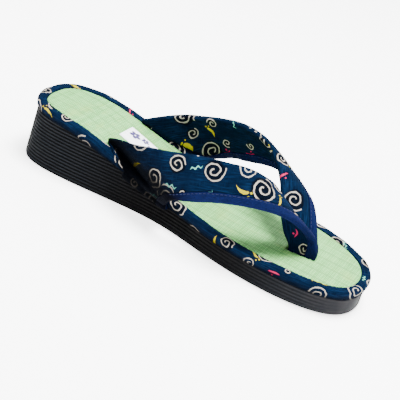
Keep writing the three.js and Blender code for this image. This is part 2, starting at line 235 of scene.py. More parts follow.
def makeSlab(name, x, y, over, under, holes=None):
    sheets = [np.stack([x, y, z], -1).reshape(-1, 3) for z in (over, under)]
    return makeMesh(name, np.vstack(sheets), slabFaces(*x.shape, holes))


def capFaces(base, count):
    # closes a ring whose far half mirrors its near half, with quads across it
    faces = []
    for k in range(count // 2 - 1):
        faces.append((base + k, base + k + 1, base + count - 2 - k, base + count - 1 - k))
    return faces


# Node trees

class Tree:
    def __init__(self, tree):
        self.tree = tree
        self.nodes = tree.nodes
        self.column = 0

    def add(self, kind, **values):
        node = self.nodes.new(kind)
        self.column += 1
        node.location = (self.column % 40 * 180, -self.column // 40 * 260)
        for key, value in values.items():
            setattr(node, key, value)
        return node

    def plug(self, socket, value):
        if isinstance(value, bpy.types.NodeSocket):
            self.tree.links.new(value, socket)
        elif value is not None:
            socket.default_value = value

    def maths(self, operation, first, second=None, third=None):
        node = self.add("ShaderNodeMath", operation=operation)
        for socket, value in zip(node.inputs, (first, second, third)):
            self.plug(socket, value)
        return node.outputs[0]

    def times(self, first, second):
        return self.maths("MULTIPLY", first, second)

    def over(self, first, second):
        return self.maths("DIVIDE", first, second)

    def plus(self, first, second):
        return self.maths("ADD", first, second)

    def minus(self, first, second):
        return self.maths("SUBTRACT", first, second)

    def inverse(self, share):
        return self.minus(1.0, share)

    def scaled(self, value, factor, shift):
        return self.maths("MULTIPLY_ADD", value, factor, shift)

    def vector(self, operation, first, second=None, scale=None):
        node = self.add("ShaderNodeVectorMath", operation=operation)
        self.plug(node.inputs[0], first)
        self.plug(node.inputs[1], second)
        if scale is not None:
            self.plug(node.inputs["Scale"], scale)
        return node.outputs["Value" if operation in ("LENGTH", "DISTANCE", "DOT_PRODUCT") else "Vector"]

    def split(self, vector):
        node = self.add("ShaderNodeSeparateXYZ")
        self.plug(node.inputs[0], vector)
        return node.outputs

    def join(self, x=0.0, y=0.0, z=0.0):
        node = self.add("ShaderNodeCombineXYZ")
        for socket, value in zip(node.inputs, (x, y, z)):
            self.plug(socket, value)
        return node.outputs[0]

    def ramp(self, value, low, high, toLow=0.0, toHigh=1.0):
        node = self.add("ShaderNodeMapRange", interpolation_type="SMOOTHSTEP")
        for socket, number in zip(node.inputs, (value, low, high, toLow, toHigh)):
            self.plug(socket, number)
        return node.outputs[0]

    def noise(self, vector, scale, detail=2.0, output="Fac"):
        node = self.add("ShaderNodeTexNoise")
        self.plug(node.inputs["Vector"], vector)
        node.inputs["Scale"].default_value = scale
        node.inputs["Detail"].default_value = detail
        return node.outputs[output]

    def streaks(self, point, acrossX, acrossY, detail):
        # noise drawn out in x or y: the smaller the number, the longer
        return self.noise(self.vector("MULTIPLY", point, (acrossX, acrossY, 1.0)), 1.0, detail)

    def blend(self, share, first, second, kind="MIX"):
        node = self.add("ShaderNodeMix", data_type="RGBA", blend_type=kind)
        self.plug(node.inputs[0], share)
        self.plug(node.inputs[6], colour(first))
        self.plug(node.inputs[7], colour(second))
        return node.outputs[2]

    def dim(self, base, share):
        return self.blend(1.0, base, self.join(share, share, share), "MULTIPLY")

    def turn(self, vector, angle):
        node = self.add("ShaderNodeVectorRotate", rotation_type="Z_AXIS")
        self.plug(node.inputs["Vector"], vector)
        self.plug(node.inputs["Angle"], angle)
        return node.outputs[0]

    def attribute(self, name):
        return self.add("ShaderNodeAttribute", attribute_name=name).outputs["Fac"]

    def named(self, name, kind="FLOAT"):
        node = self.add("GeometryNodeInputNamedAttribute", data_type=kind)
        node.inputs["Name"].default_value = name
        return node.outputs[0]

    def place(self, output="Object", scale=None):
        socket = self.add("ShaderNodeTexCoord").outputs[output]
        return socket if scale is None else self.vector("SCALE", socket, scale=scale)


def colour(value):
    return (*value, 1.0) if isinstance(value, tuple) and len(value) == 3 else value


def newMaterial(name, roughness, sheen=0.0, sheenRoughness=0.5, sheenTint=(1, 1, 1), specular=0.5):
    material = bpy.data.materials.new(name)
    material.use_nodes = True
    tree = Tree(material.node_tree)
    shader = tree.nodes["Principled BSDF"]
    shader.inputs["Roughness"].default_value = roughness
    shader.inputs["Specular IOR Level"].default_value = specular
    shader.inputs["Sheen Weight"].default_value = sheen
    shader.inputs["Sheen Roughness"].default_value = sheenRoughness
    shader.inputs["Sheen Tint"].default_value = (*sheenTint, 1)
    return material, tree, shader


def addBump(tree, shader, height, distance, strength=1.0):
    bump = tree.add("ShaderNodeBump")
    bump.inputs["Strength"].default_value = strength
    bump.inputs["Distance"].default_value = distance * mm
    tree.plug(bump.inputs["Height"], height)
    tree.plug(shader.inputs["Normal"], bump.outputs[0])


def newGeometryTree(name):
    group = bpy.data.node_groups.new(name, "GeometryNodeTree")
    group.interface.new_socket("Geometry", in_out="INPUT", socket_type="NodeSocketGeometry")
    group.interface.new_socket("Geometry", in_out="OUTPUT", socket_type="NodeSocketGeometry")
    tree = Tree(group)
    start = tree.add("NodeGroupInput")
    end = tree.add("NodeGroupOutput")
    return group, tree, start, end


def addInputs(group, values):
    identifiers = {}
    for name, value in values.items():
        socket = group.interface.new_socket(name, in_out="INPUT", socket_type="NodeSocketFloat")
        socket.default_value = value
        identifiers[socket.identifier] = value
    return identifiers


def movedBy(tree, geometry, offset):
    move = tree.add("GeometryNodeSetPosition")
    tree.plug(move.inputs["Geometry"], geometry)
    tree.plug(move.inputs["Offset"], offset)
    return move.outputs[0]


def finishTree(tree, end, geometry, material):
    realize = tree.add("GeometryNodeRealizeInstances")
    paint = tree.add("GeometryNodeSetMaterial")
    paint.inputs["Material"].default_value = material
    tree.plug(realize.inputs[0], geometry)
    tree.plug(paint.inputs["Geometry"], realize.outputs[0])
    tree.plug(end.inputs[0], paint.outputs[0])


def applyTree(obj, group, values, name):
    modifier = obj.modifiers.new(group.name, "NODES")
    modifier.node_group = group
    for identifier, value in values.items():
        modifier[identifier] = value
    evaluated = obj.evaluated_get(bpy.context.evaluated_depsgraph_get())
    mesh = bpy.data.meshes.new_from_object(evaluated)
    obj.modifiers.clear()
    bpy.data.objects.remove(obj)
    made = bpy.data.objects.new(name, mesh)
    mesh.name = name
    bpy.context.scene.collection.objects.link(made)
    return made


# Camera at the photograph's angle to the sandal

cameraPlace = {
    "position": (174.1, -596.6, 316.8),
    "right": (0.857, 0.434, 0.278),
    "down": (0.444, -0.348, -0.825),
    "forward": (-0.261, 0.831, -0.491),
    "focalPixels": 946.5,
    "imagePixels": 400,
    "sandalAt": (237, 152),  # where the sandal's middle lies in the photograph, which the camera turns to
    "closer": 1.13,
    "sensor": 36,
}


def makeCamera():
    values = cameraPlace
    data = bpy.data.cameras.new("camera")
    data.sensor_width = values["sensor"]
    data.lens = values["closer"] * values["focalPixels"] / values["imagePixels"] * values["sensor"]
    data.clip_start = 0.01
    data.clip_end = 20
    camera = bpy.data.objects.new("camera", data)
    axes = np.array([values["right"], values["down"], values["forward"]])
    left, _, right = np.linalg.svd(axes)
    axes = left @ right  # the nearest square axes
    across, down = np.array(values["sandalAt"]) - values["imagePixels"] / 2
    aim = Vector(values["focalPixels"] * axes[2] + across * axes[0] + down * axes[1])
    axes = axes @ np.array(Vector(axes[2]).rotation_difference(aim).to_matrix()).T
    turn = np.column_stack([axes[0], -axes[1], -axes[2]])
    x, y, z = values["position"]
    matrix = Matrix.Translation((x * mm, (y + yShift) * mm, z * mm))
    camera.matrix_world = matrix @ Matrix(turn.tolist()).to_4x4()
    bpy.context.scene.collection.objects.link(camera)
    bpy.context.scene.camera = camera


makeCamera()

# Studio: pale floor and soft light

studio = {
    "floorSize": 8.0,
    "floorColour": (0.95, 0.95, 0.95),
    "floorGlow": 2.9,
    "skyColour": (0.96, 0.98, 1.0),
    "skyLow": 0.36,
    "skyHigh": 1.45,
    "skyTop": 0.8,  # height from which the sky is brightest
}
softLights = [
    {"name": "overhead", "place": (0.1, 0.05, 1.2), "size": 0.55, "power": 72},
    {"name": "rear", "place": (0.5, 1.1, 0.9), "size": 0.9, "power": 18},
    {"name": "front", "place": (0.3, -1.3, 0.8), "size": 0.9, "power": 9},
]


def makeStudio():
    half = studio["floorSize"] / 2
    mesh = bpy.data.meshes.new("floor")
    corners = [(-half, -half, 0), (half, -half, 0), (half, half, 0), (-half, half, 0)]
    mesh.from_pydata(corners, [], [(0, 1, 2, 3)])
    floor = bpy.data.objects.new("floor", mesh)
    bpy.context.scene.collection.objects.link(floor)
    material, _, shader = newMaterial("paleFloor", 0.9, specular=0.1)
    shader.inputs["Base Color"].default_value = (*studio["floorColour"], 1)
    shader.inputs["Emission Color"].default_value = (1, 1, 1, 1)
    shader.inputs["Emission Strength"].default_value = studio["floorGlow"]
    mesh.materials.append(material)
    world = bpy.data.worlds.new("studio")
    world.use_nodes = True
    sky = Tree(world.node_tree)
    background = sky.nodes["Background"]
    background.inputs[0].default_value = (*studio["skyColour"], 1)
    height = sky.split(sky.place("Generated"))[2]
    strength = sky.ramp(height, 0.0, studio["skyTop"], studio["skyLow"], studio["skyHigh"])
    sky.plug(background.inputs[1], strength)
    bpy.context.scene.world = world
    for values in softLights:
        light = bpy.data.lights.new(values["name"], "AREA")
        light.shape = "DISK"
        light.size = values["size"]
        light.energy = values["power"]
        lamp = bpy.data.objects.new(values["name"], light)
        lamp.location = values["place"]
        lamp.rotation_euler = Vector(values["place"]).to_track_quat("Z", "Y").to_euler()
        bpy.context.scene.collection.objects.link(lamp)


makeStudio()
print("camera and studio made")

# Printed cloth: dark indigo ground with spirals and small dabs, laid out on the cloth's own UV map

printLook = {
    "ground": (0.0007, 0.0036, 0.012),
    "groundLight": (0.003, 0.0155, 0.047),
    "disc": (0.0006, 0.001, 0.002),
    "cream": (0.33, 0.295, 0.245),
    "red": (0.42, 0.01, 0.065),
    "yellow": (0.4, 0.32, 0.0),
    "mint": (0.13, 0.39, 0.3),
    "gloss": 0.01,
    "nap": 0.006,
    "napTint": (0.4, 0.55, 0.9),
    "turn": 27,  # degrees of the layout on the cloth
    "spiralPitch": 19.5,  # from one spiral to the next
    "spiralLoose": 0.42,
    "spiralSmall": 2.6,  # radius
    "spiralLarge": 8.3,
    "smallTurns": 1.15,  # turns of the smallest spiral
    "turnsPerSize": 0.14,  # more turns for each millimetre of radius
    "lineWidth": 0.56,
    "lineGrowth": 0.025,
    "lineStart": 0.3,  # turns from the middle
    "leftHanded": 0.45,  # share of the spirals that turn the other way
    "missing": 0.1,  # share of the places with no spiral
    "plain": 0.3,  # share of the spirals without a dark disc
    "discDepth": 0.8,
    "wobble": 1.3,
    "dabPitch": 20,
    "dabLoose": 0.35,
    "weavePitch": 0.62,
    "weaveDepth": 0.16,
    "wornThreads": 0.25,  # how much the slubs show through the print
}
dabShares = {"red": (0.0, 0.34), "yellow": (0.34, 0.56), "mint": (0.56, 0.7)}


def cell(tree, point, pitch, loose):
    # the way from the middle of the nearest cell, and three numbers by chance for it
    node = tree.add("ShaderNodeTexVoronoi", voronoi_dimensions="2D", feature="F1")
    tree.plug(node.inputs["Vector"], point)
    node.inputs["Scale"].default_value = 1 / pitch
    node.inputs["Randomness"].default_value = loose
    offset = tree.vector("SUBTRACT", point, node.outputs["Position"])
    return offset, tree.split(node.outputs["Color"])


def pick(tree, chance, times, least):
    again = tree.maths("FRACT", tree.times(chance, times))
    return tree.maths("GREATER_THAN", again, least)


def spiralMask(tree, point, look):
    offset, chance = cell(tree, point, look["spiralPitch"], look["spiralLoose"])
    x, y, _ = tree.split(offset)
    radius = tree.vector("LENGTH", tree.join(x, y))
    hand = tree.maths("SIGN", tree.minus(chance[1], look["leftHanded"]))
    angle = tree.maths("ARCTAN2", tree.times(y, hand), x)
    phase = tree.plus(tree.over(angle, 2 * math.pi), tree.times(chance[2], 7.0))
    phase = tree.maths("FRACT", phase)
    size = tree.ramp(chance[0], 0.0, 1.0, look["spiralSmall"], look["spiralLarge"])
    turns = tree.plus(tree.times(size, look["turnsPerSize"]), look["smallTurns"])
    spacing = tree.over(size, turns)
    place = tree.minus(tree.over(radius, spacing), phase)
    nearest = tree.maths("ROUND", place)
    away = tree.times(tree.maths("ABSOLUTE", tree.minus(place, nearest)), spacing)
    count = tree.plus(nearest, phase)
    thick = tree.scaled(size, look["lineGrowth"], look["lineWidth"] / 2)
    line = tree.inverse(tree.ramp(tree.over(away, thick), 0.85, 1.15))
    started = tree.maths("GREATER_THAN", count, look["lineStart"])
    ended = tree.maths("LESS_THAN", count, turns)
    shown = pick(tree, chance[2], 13.0, look["missing"])
    mask = tree.times(tree.times(line, started), ended)
    disc = tree.inverse(tree.ramp(tree.over(radius, size), 0.86, 0.98))
    filled = pick(tree, chance[2], 29.0, look["plain"])
    disc = tree.times(tree.times(disc, filled), shown)
    return tree.times(mask, shown), disc


def dabMasks(tree, point, look):
    half = look["dabPitch"] / 2
    moved = tree.vector("ADD", point, (half, half, 0.0))
    offset, chance = cell(tree, moved, look["dabPitch"], look["dabLoose"])
    x, y, _ = tree.split(tree.turn(offset, tree.times(chance[1], 2 * math.pi)))
    bent = tree.minus(y, tree.times(tree.times(x, x), 0.06))
    wave = tree.minus(y, tree.times(tree.maths("SINE", tree.times(x, 1.7)), 0.7))
    taper = tree.scaled(x, 0.16, 1.0)

    def oval(across, length, width):
        long = tree.maths("POWER", tree.maths("ABSOLUTE", tree.over(x, length)), 2.0)
        wide = tree.maths("POWER", tree.maths("ABSOLUTE", tree.over(across, width)), 2.0)
        return tree.inverse(tree.ramp(tree.plus(long, wide), 0.8, 1.15))

    def dot(atX, atY, size):
        far = tree.vector("DISTANCE", tree.join(x, y), (atX, atY, 0.0))
        return tree.inverse(tree.ramp(far, size * 0.8, size * 1.1))

    def most(*masks):
        made = masks[0]
        for mask in masks[1:]:
            made = tree.maths("MAXIMUM", made, mask)
        return made

    shapes = {
        "red": most(oval(bent, 3.6, 0.62), dot(1.2, 2.3, 0.6)),
        "yellow": most(oval(tree.over(bent, taper), 4.4, 0.85), dot(5.6, 1.6, 0.65), dot(5.3, -0.6, 0.5)),
        "mint": oval(wave, 4.2, 0.5),
    }
    masks = {}
    for name, (low, high) in dabShares.items():
        above = tree.maths("GREATER_THAN", chance[0], low)
        own = tree.times(above, tree.maths("LESS_THAN", chance[0], high))
        masks[name] = tree.times(shapes[name], own)
    return masks


def weave(tree, flat, pitch):
    x, y, _ = tree.split(flat)
    warp = tree.maths("SINE", tree.times(x, 2 * math.pi / pitch))
    weft = tree.maths("SINE", tree.times(y, 2 * math.pi / pitch))
    return tree.times(warp, weft)


def slubs(tree, flat):
    # thick places of the threads, along them and, fainter, across
    along = tree.ramp(tree.streaks(flat, 0.1, 1.3, 3.0), 0.4, 0.72)
    across = tree.ramp(tree.streaks(flat, 1.5, 0.16, 3.0), 0.45, 0.75, 0.0, 0.6)
    return tree.maths("MAXIMUM", along, across)


def printedCloth(name, shift, threadTurn):
    # shift moves the layout, threadTurn in degrees turns the threads on the UV map
    look = printLook
    finish = (look["nap"], 0.5, look["napTint"], look["gloss"])
    material, tree, shader = newMaterial(name, 0.9, *finish)
    cloth = tree.place("UV", float(uvMillimetres))
    point = tree.vector("ADD", tree.turn(cloth, math.radians(look["turn"])), (*shift, 0.0))
    flat = tree.turn(cloth, math.radians(threadTurn))
    shake = tree.vector("SUBTRACT", tree.noise(point, 0.17, 2.0, "Color"), (0.5, 0.5, 0.5))
    shaken = tree.vector("ADD", point, tree.vector("SCALE", shake, scale=look["wobble"] * 2))
    spirals, discs = spiralMask(tree, shaken, look)
    dabs = dabMasks(tree, shaken, look)
    threads = slubs(tree, flat)
    cross = weave(tree, flat, look["weavePitch"])
    patches = tree.ramp(tree.noise(flat, 0.09, 2.0), 0.3, 0.7)
    light = tree.times(tree.scaled(patches, 0.6, 0.33), threads)
    base = tree.blend(light, look["ground"], look["groundLight"])
    base = tree.blend(tree.times(discs, look["discDepth"]), base, look["disc"])
    fade = tree.scaled(threads, -look["wornThreads"], 1.0)
    base = tree.blend(tree.times(spirals, fade), base, look["cream"])
    for kind in dabShares:
        base = tree.blend(dabs[kind], base, look[kind])
    grain = tree.scaled(cross, look["weaveDepth"], 1 - look["weaveDepth"] / 2)
    # painted shade: the shade attribute darkens the cloth where the strap tucks in at the rand and along
    # the rand's lower edge
    grain = tree.times(grain, tree.inverse(tree.attribute("shade")))
    tree.plug(shader.inputs["Base Color"], tree.dim(base, grain))
    addBump(tree, shader, tree.scaled(threads, 0.6, cross), 0.09, 0.7)
    return material


bindingLook = {
    "dark": (0.0018, 0.0034, 0.0185),
    "light": (0.0042, 0.0076, 0.042),
    "gloss": 0.015,
    "nap": 0.01,
    "napTint": (0.35, 0.5, 0.95),
    "bias": 45,  # degrees from the strap's length to the threads
    "weavePitch": 0.8,
}


def bindingCloth():
    look = bindingLook
    finish = (look["nap"], 0.4, look["napTint"], look["gloss"])
    material, tree, shader = newMaterial("bindingCloth", 0.85, *finish)
    cloth = tree.place("UV", float(uvMillimetres))
    bias = tree.turn(cloth, math.radians(look["bias"]))
    twill = weave(tree, bias, look["weavePitch"])
    streak = tree.streaks(bias, 0.2, 2.0, 3.0)
    base = tree.blend(tree.ramp(streak, 0.3, 0.75), look["dark"], look["light"])
    # painted shade: the shade attribute darkens the binding where it tucks in at the rand
    left = tree.inverse(tree.attribute("shade"))
    tree.plug(shader.inputs["Base Color"], tree.dim(base, left))
    addBump(tree, shader, tree.scaled(streak, 0.8, twill), 0.08, 0.7)
    return material


def threadFinish(name, tint):
    material, tree, shader = newMaterial(name, 0.7, 0.03, 0.4, specular=0.15)
    twist = tree.noise(tree.place(), 2500.0, 1.0)
    dark = tuple(0.6 * value for value in tint)
    tree.plug(shader.inputs["Base Color"], tree.blend(twist, dark, tint))
    return material


upperCloth = printedCloth("upperCloth", (3.0, -6.5), 57)  # its threads run along the straps
randCloth = printedCloth("randCloth", (40.0, 11.0), 0)
bindCloth = bindingCloth()
print("cloth finishes made")

# Sole: black rubber wedge with fine ribs round its side

soleLook = {
    "insetTop": 1.6,
    "insetBottom": 1,
    "edgeRound": 0.8,
    "toeSpring": 1.2,
    "heelRise": 3.6,
    "springStart": 0.33,
    "heelStart": 0.9,
    "ribPitch": 2.2,
    "ribDepth": 0.62,
    "grooveShare": 0.56,
    "stations": 560,
    "rowsPerRib": 8,
    "footRows": (0, 0.12, 0.3, 0.55, 0.8),  # heights of the rows under the ribs
    "ribsFrom": 0.85,
    "plainFoot": 0.75,
    "notchOut": 1.2,  # how far the straps' notches reach past the straps
    "notchIn": 0.3,
    # painted shade: the grooves between the ribs are drawn in this darker colour
    "groove": (0.0004, 0.0004, 0.0005),
    "crest": (0.0055, 0.0068, 0.0088),
    # painted shade over the sole's middle, and painted light at the toe
    "middle": (0.0004, 0.0004, 0.0006),
    "paintedToeLight": (0.0125, 0.0122, 0.0138),
    "gloss": 0.045,
    "middleRear": (-0.09, -0.03),  # metres along the sole in which the middle's painted shade comes in
    "middleFront": (0.04, 0.1),  # and goes out again
    "toeFront": (0.06, 0.12),
    "foreRibs": 0.45,  # share of the ribs' depth that is left in the fore part
}


def treadHeight(x):
    place = np.asarray(x, float) / halfLength
    spring = np.maximum(0, (place - soleLook["springStart"]) / (1 - soleLook["springStart"]))
    heel = np.maximum(0, (-place - soleLook["heelStart"]) / (1 - soleLook["heelStart"]))
    return soleLook["toeSpring"] * spring**2 + soleLook["heelRise"] * heel**2


def ribFade(x):
    place = np.asarray(x, float) / halfLength
    fore = 1 - (1 - soleLook["foreRibs"]) * smooth(place, -0.1, 0.35)
    return smooth(1 - place, 0.02, 0.3) * fore


# Straps. Sections hold x as a share of the half length, y of the half width towards the strap's own side,
# the rise over the rush as a share of the straps' rise, and crown, the outward bow as a share of the width

strapSizes = {
    "thickness": 3.6,
    "rise": 46,
    "tabThickness": 2.4,
    "tabLength": 13,
    "bindingWidth": 6.5,
    "bindingProud": 0.3,
    "tongueInset": 1.4,
}
strapHalf = strapSizes["thickness"] / 2
tabHalf = strapSizes["tabThickness"] / 2
bindingWidth = strapSizes["bindingWidth"]

post = {"x": 76.9, "y": -7.9, "length": 18.3, "turn": 6.5, "depth": 4}


def table(names, rows):
    return [dict(zip(names.split(), row)) for row in rows]


sectionNames = "backX backY backRise frontX frontY frontRise crown"
medialSections = table(sectionNames, [
    (-0.42, 0.66, 0.05, -0.06, 0.83, 0.03, -0.06),
    (-0.51, 0.49, 0.05, -0.035, 0.92, 0.14, -0.07),
    (-0.45, 0.56, 0.175, -0.01, 0.955, 0.21, -0.02),
    (-0.36, 0.69, 0.34, 0.03, 0.97, 0.27, 0.02),
    (-0.235, 0.79, 0.56, 0.07, 0.98, 0.33, 0.04),
    (-0.113, 0.834, 0.735, 0.12, 0.985, 0.4, 0.05),
    (-0.008, 0.845, 0.87, 0.188, 0.978, 0.49, 0.05),
    (0.086, 0.841, 0.96, 0.272, 0.956, 0.57, 0.05),
    (0.17, 0.8, 1, 0.353, 0.915, 0.622, 0.05),
    (0.239, 0.705, 1, 0.431, 0.841, 0.637, 0.05),
    (0.31, 0.561, 0.94, 0.506, 0.716, 0.609, 0.05),
    (0.392, 0.389, 0.787, 0.583, 0.52, 0.502, 0.04),
])
lateralSections = table(sectionNames, [
    (-0.49, 0.77, 0.04, -0.12, 0.985, 0.07, -0.04),
    (-0.52, 0.62, 0.03, -0.08, 1.005, 0.135, -0.05),
    (-0.475, 0.63, 0.14, -0.04, 1.01, 0.2, -0.02),
    (-0.4, 0.68, 0.31, 0, 0.985, 0.275, 0.02),
    (-0.3, 0.725, 0.51, 0.045, 0.93, 0.345, 0.04),
    (-0.2, 0.735, 0.67, 0.09, 0.87, 0.395, 0.05),
    (-0.086, 0.681, 0.845, 0.145, 0.815, 0.46, 0.05),
    (0.01, 0.63, 0.95, 0.229, 0.74, 0.55, 0.05),
    (0.1, 0.55, 0.995, 0.31, 0.65, 0.6, 0.05),
    (0.194, 0.421, 1, 0.395, 0.535, 0.6, 0.05),
    (0.27, 0.27, 0.93, 0.478, 0.395, 0.57, 0.05),
    (0.35, 0.09, 0.79, 0.577, 0.19, 0.475, 0.04),
])
postSections = table("back front backRise frontRise apart", [
    (-1.13, 0.33, 0.41, 0.22, 1),
    (-0.84, 0.465, 0.2, 0.1, 0.93),
    (-0.5, 0.5, 0.02, 0.02, 0.93),
])
straps = {
    "medial": {"side": -1, "sections": medialSections, "tabRear": -0.35, "tabFront": -0.075},
    "lateral": {"side": 1, "sections": lateralSections, "tabRear": -0.44, "tabFront": -0.16},
}


def tabRow(strap, outward, rise):
    def row(v):
        x = halfLength * (strap["tabRear"] + (strap["tabFront"] - strap["tabRear"]) * v)
        return np.stack([x, edgeY(x, strap["side"]) + strap["side"] * outward, rushHeight(x) + rise], -1)
    return row


def sectionRow(strap, section):
    def end(name):
        x = section[name + "X"] * halfLength
        z = rushHeight(x) + gap + section[name + "Rise"] * strapSizes["rise"]
        return np.array([x, strap["side"] * section[name + "Y"] * halfWidth, z])

    back, front = end("back"), end("front")
    bow = unit(np.array([0, strap["side"], 0.8])) * section["crown"] * np.linalg.norm(front - back)

    def row(v):
        share = v[:, None]
        return back + (front - back) * share + bow * 4 * share * (1 - share)
    return row


def postRow(strap, section, lift):
    turn = math.radians(post["turn"])
    along = np.array([math.cos(turn), math.sin(turn)])
    apart = strap["side"] * section["apart"] * strapHalf

    def end(name):
        x = post["x"] + along[0] * section[name] * post["length"] - along[1] * apart
        y = post["y"] + along[1] * section[name] * post["length"] + along[0] * apart
        return np.array([x, y, rushHeight(x) + section[name + "Rise"] * strapSizes["rise"] + lift])

    back, front = end("back"), end("front")
    return lambda v: back + (front - back) * v[:, None]


def strapRows(strap):
    under = -boardDepth - gap - tabHalf
    foot = dict(postSections[-1], backRise=0, frontRise=0)
    rows = [
        tabRow(strap, -strapSizes["tabLength"], under),
        tabRow(strap, -soleLook["insetTop"], under),
        tabRow(strap, strapHalf, gap - boardDepth),
        tabRow(strap, strapHalf + 2 * gap, -0.4 * boardDepth),
    ]
    rows += [sectionRow(strap, section) for section in strap["sections"]]
    rows += [postRow(strap, section, 0) for section in postSections]
    rows.append(postRow(strap, foot, -boardDepth - gap - post["depth"]))
    return rows


def strapPoint(rows, u, v):
    # a centripetal spline through the rows, at the share u of the strap and the shares v from back to front
    v = np.atleast_1d(np.asarray(v, float))
    last = len(rows) - 1
    place = min(max(u, 0.0), 1.0) * last
    index = min(int(place), last - 1)
    share = place - index
    p1, p2 = rows[index](v), rows[index + 1](v)
    p0 = rows[index - 1](v) if index > 0 else 2 * p1 - p2
    p3 = rows[index + 2](v) if index + 2 <= last else 2 * p2 - p1
    d0 = np.sqrt(np.linalg.norm(p1 - p0, axis=1))[:, None]
    d1 = np.sqrt(np.linalg.norm(p2 - p1, axis=1))[:, None]
    d2 = np.sqrt(np.linalg.norm(p3 - p2, axis=1))[:, None]
    t1 = ((p1 - p0) / d0 - (p2 - p0) / (d0 + d1) + (p2 - p1) / d1) * d1
    t2 = ((p2 - p1) / d1 - (p3 - p1) / (d1 + d2) + (p3 - p2) / d2) * d1
    square = -3 * p1 + 3 * p2 - 2 * t1 - t2
    cubic = 2 * p1 - 2 * p2 + t1 + t2
    return p1 + share * (t1 + share * (square + share * cubic))


def strapFrame(strap, rows, u):
    ends = strapPoint(rows, u, [0, 1])
    width = np.linalg.norm(ends[1] - ends[0])
    flat = float(smooth(u * (len(rows) - 1), 1, 3))
    swell = tabHalf / strapHalf * (1 - flat) + flat

    def raised(inset, height):
        inset = np.asarray(inset, float)
        v = 1 - inset / width
        step = 0.004
        along = strapPoint(rows, min(u + step, 1), v) - strapPoint(rows, max(u - step, 0), v)
        across = strapPoint(rows, u, v + step) - strapPoint(rows, u, v - step)
        normal = unit(-strap["side"] * np.cross(across, along))
        return strapPoint(rows, u, v) + normal * (np.asarray(height, float) * swell)[:, None]
    return width, raised


# Rand: the padded cloth edge. Its form runs from the lower edge over the top to the inner edge, as insets
# from the outline and rises over the rush

randLook = {
    "width": 6.3,
    "crown": 0.9,
    "wall": 2.1,
    "lip": 1.1,
    "tuck": 5.4,
    "stations": 900,
    "gather": 0.2,  # depth of the gathers
    "gatherPitches": (3.3, 5.3, 1.9),  # three waves in millimetres, the second and third fainter
    "swellPitches": (31, 19.5),
    "straightGather": 0.35,  # share of the gathers' depth where the edge runs straight
    # painted shade along the rand's lower edge, where it meets the sole
    "edgeShade": 0.8,
    "edgeReach": 0.42,  # of the way over the rand, up to which the painted shade fades
}
randForm = np.array([
    (soleLook["insetTop"], -boardDepth),
    (0.8, -0.73 * boardDepth),
    (0.25, -0.43 * boardDepth),
    (0, -0.15 * boardDepth),
    (0.35, 0.1 * randLook["crown"]),
    (0.24 * randLook["width"], 0.75 * randLook["crown"]),
    (0.54 * randLook["width"], randLook["crown"]),
    (0.86 * randLook["width"], 0.6 * randLook["crown"]),
    (randLook["width"], -0.1),
])


def curveThrough(points, perSpan):
    # plain spline through points in a plane
    points = np.asarray(points, float)
    padded = np.vstack([2 * points[0] - points[1], points, 2 * points[-1] - points[-2]])
    made = []
    for i in range(1, len(padded) - 2):
        p0, p1, p2, p3 = padded[i - 1 : i + 3]
        square = 2 * p0 - 5 * p1 + 4 * p2 - p3
        cubic = 3 * p1 - p0 - 3 * p2 + p3
        for k in range(perSpan):
            share = k / perSpan
            made.append(0.5 * (2 * p1 + share * (p2 - p0 + share * (square + share * cubic))))
    made.append(points[-1])
    return np.array(made)


randCurve = curveThrough(randForm, 4)
nearAngles = roundAngles(1800)
nearOutline = outlinePoint(nearAngles)
nearInward = inwardNormal(nearAngles)


def clearBoard(points, spare):
    # moves what would lie inside the rand and board out to their surface, spare millimetres off it
    flat = points[:, :2]
    away = ((flat[:, None, :] - nearOutline[None]) ** 2).sum(2)
    nearest = away.argmin(1)
    inward = nearInward[nearest]
    inset = ((flat - nearOutline[nearest]) * inward).sum(1)
    rise = points[:, 2] - rushHeight(points[:, 0])
    curve = np.vstack([randCurve, [(60, randCurve[-1][1])]])
    outward = profileNormals(curve)
    place = np.stack([inset, rise], -1)
    starts, ends = curve[:-1], curve[1:]
    runs = ends - starts
    share = ((place[:, None] - starts[None]) * runs[None]).sum(2) / (runs**2).sum(1)[None]
    share = np.clip(share, 0, 1)
    closest = starts[None] + share[..., None] * runs[None]
    distance = np.linalg.norm(place[:, None] - closest, axis=2)
    span = distance.argmin(1)
    row = np.arange(len(points))
    foot = closest[row, span]
    part = share[row, span][:, None]
    normal = unit(outward[span] * (1 - part) + outward[span + 1] * part)
    signed = ((place - foot) * normal).sum(1)
    below = rise < -boardDepth - 0.2
    push = np.where(below, 0, np.maximum(spare - signed, 0))
    deep = (rise < -boardDepth * 0.98) & (inset > soleLook["insetTop"])
    push[deep] = 0
    moved = points.copy()
    moved[:, :2] += inward * (normal[:, 0] * push)[:, None]
    moved[:, 2] += normal[:, 1] * push
    return moved


def postSide(points, side, spare):
    # keeps each strap on its own side of the post's middle plane
    turn = math.radians(post["turn"])
    away = np.array([-math.sin(turn), math.cos(turn)]) * side
    signed = (points[:, :2] - np.array([post["x"], post["y"]])) @ away
    moved = points.copy()
    moved[:, :2] += away * np.maximum(spare - signed, 0)[:, None]
    return moved


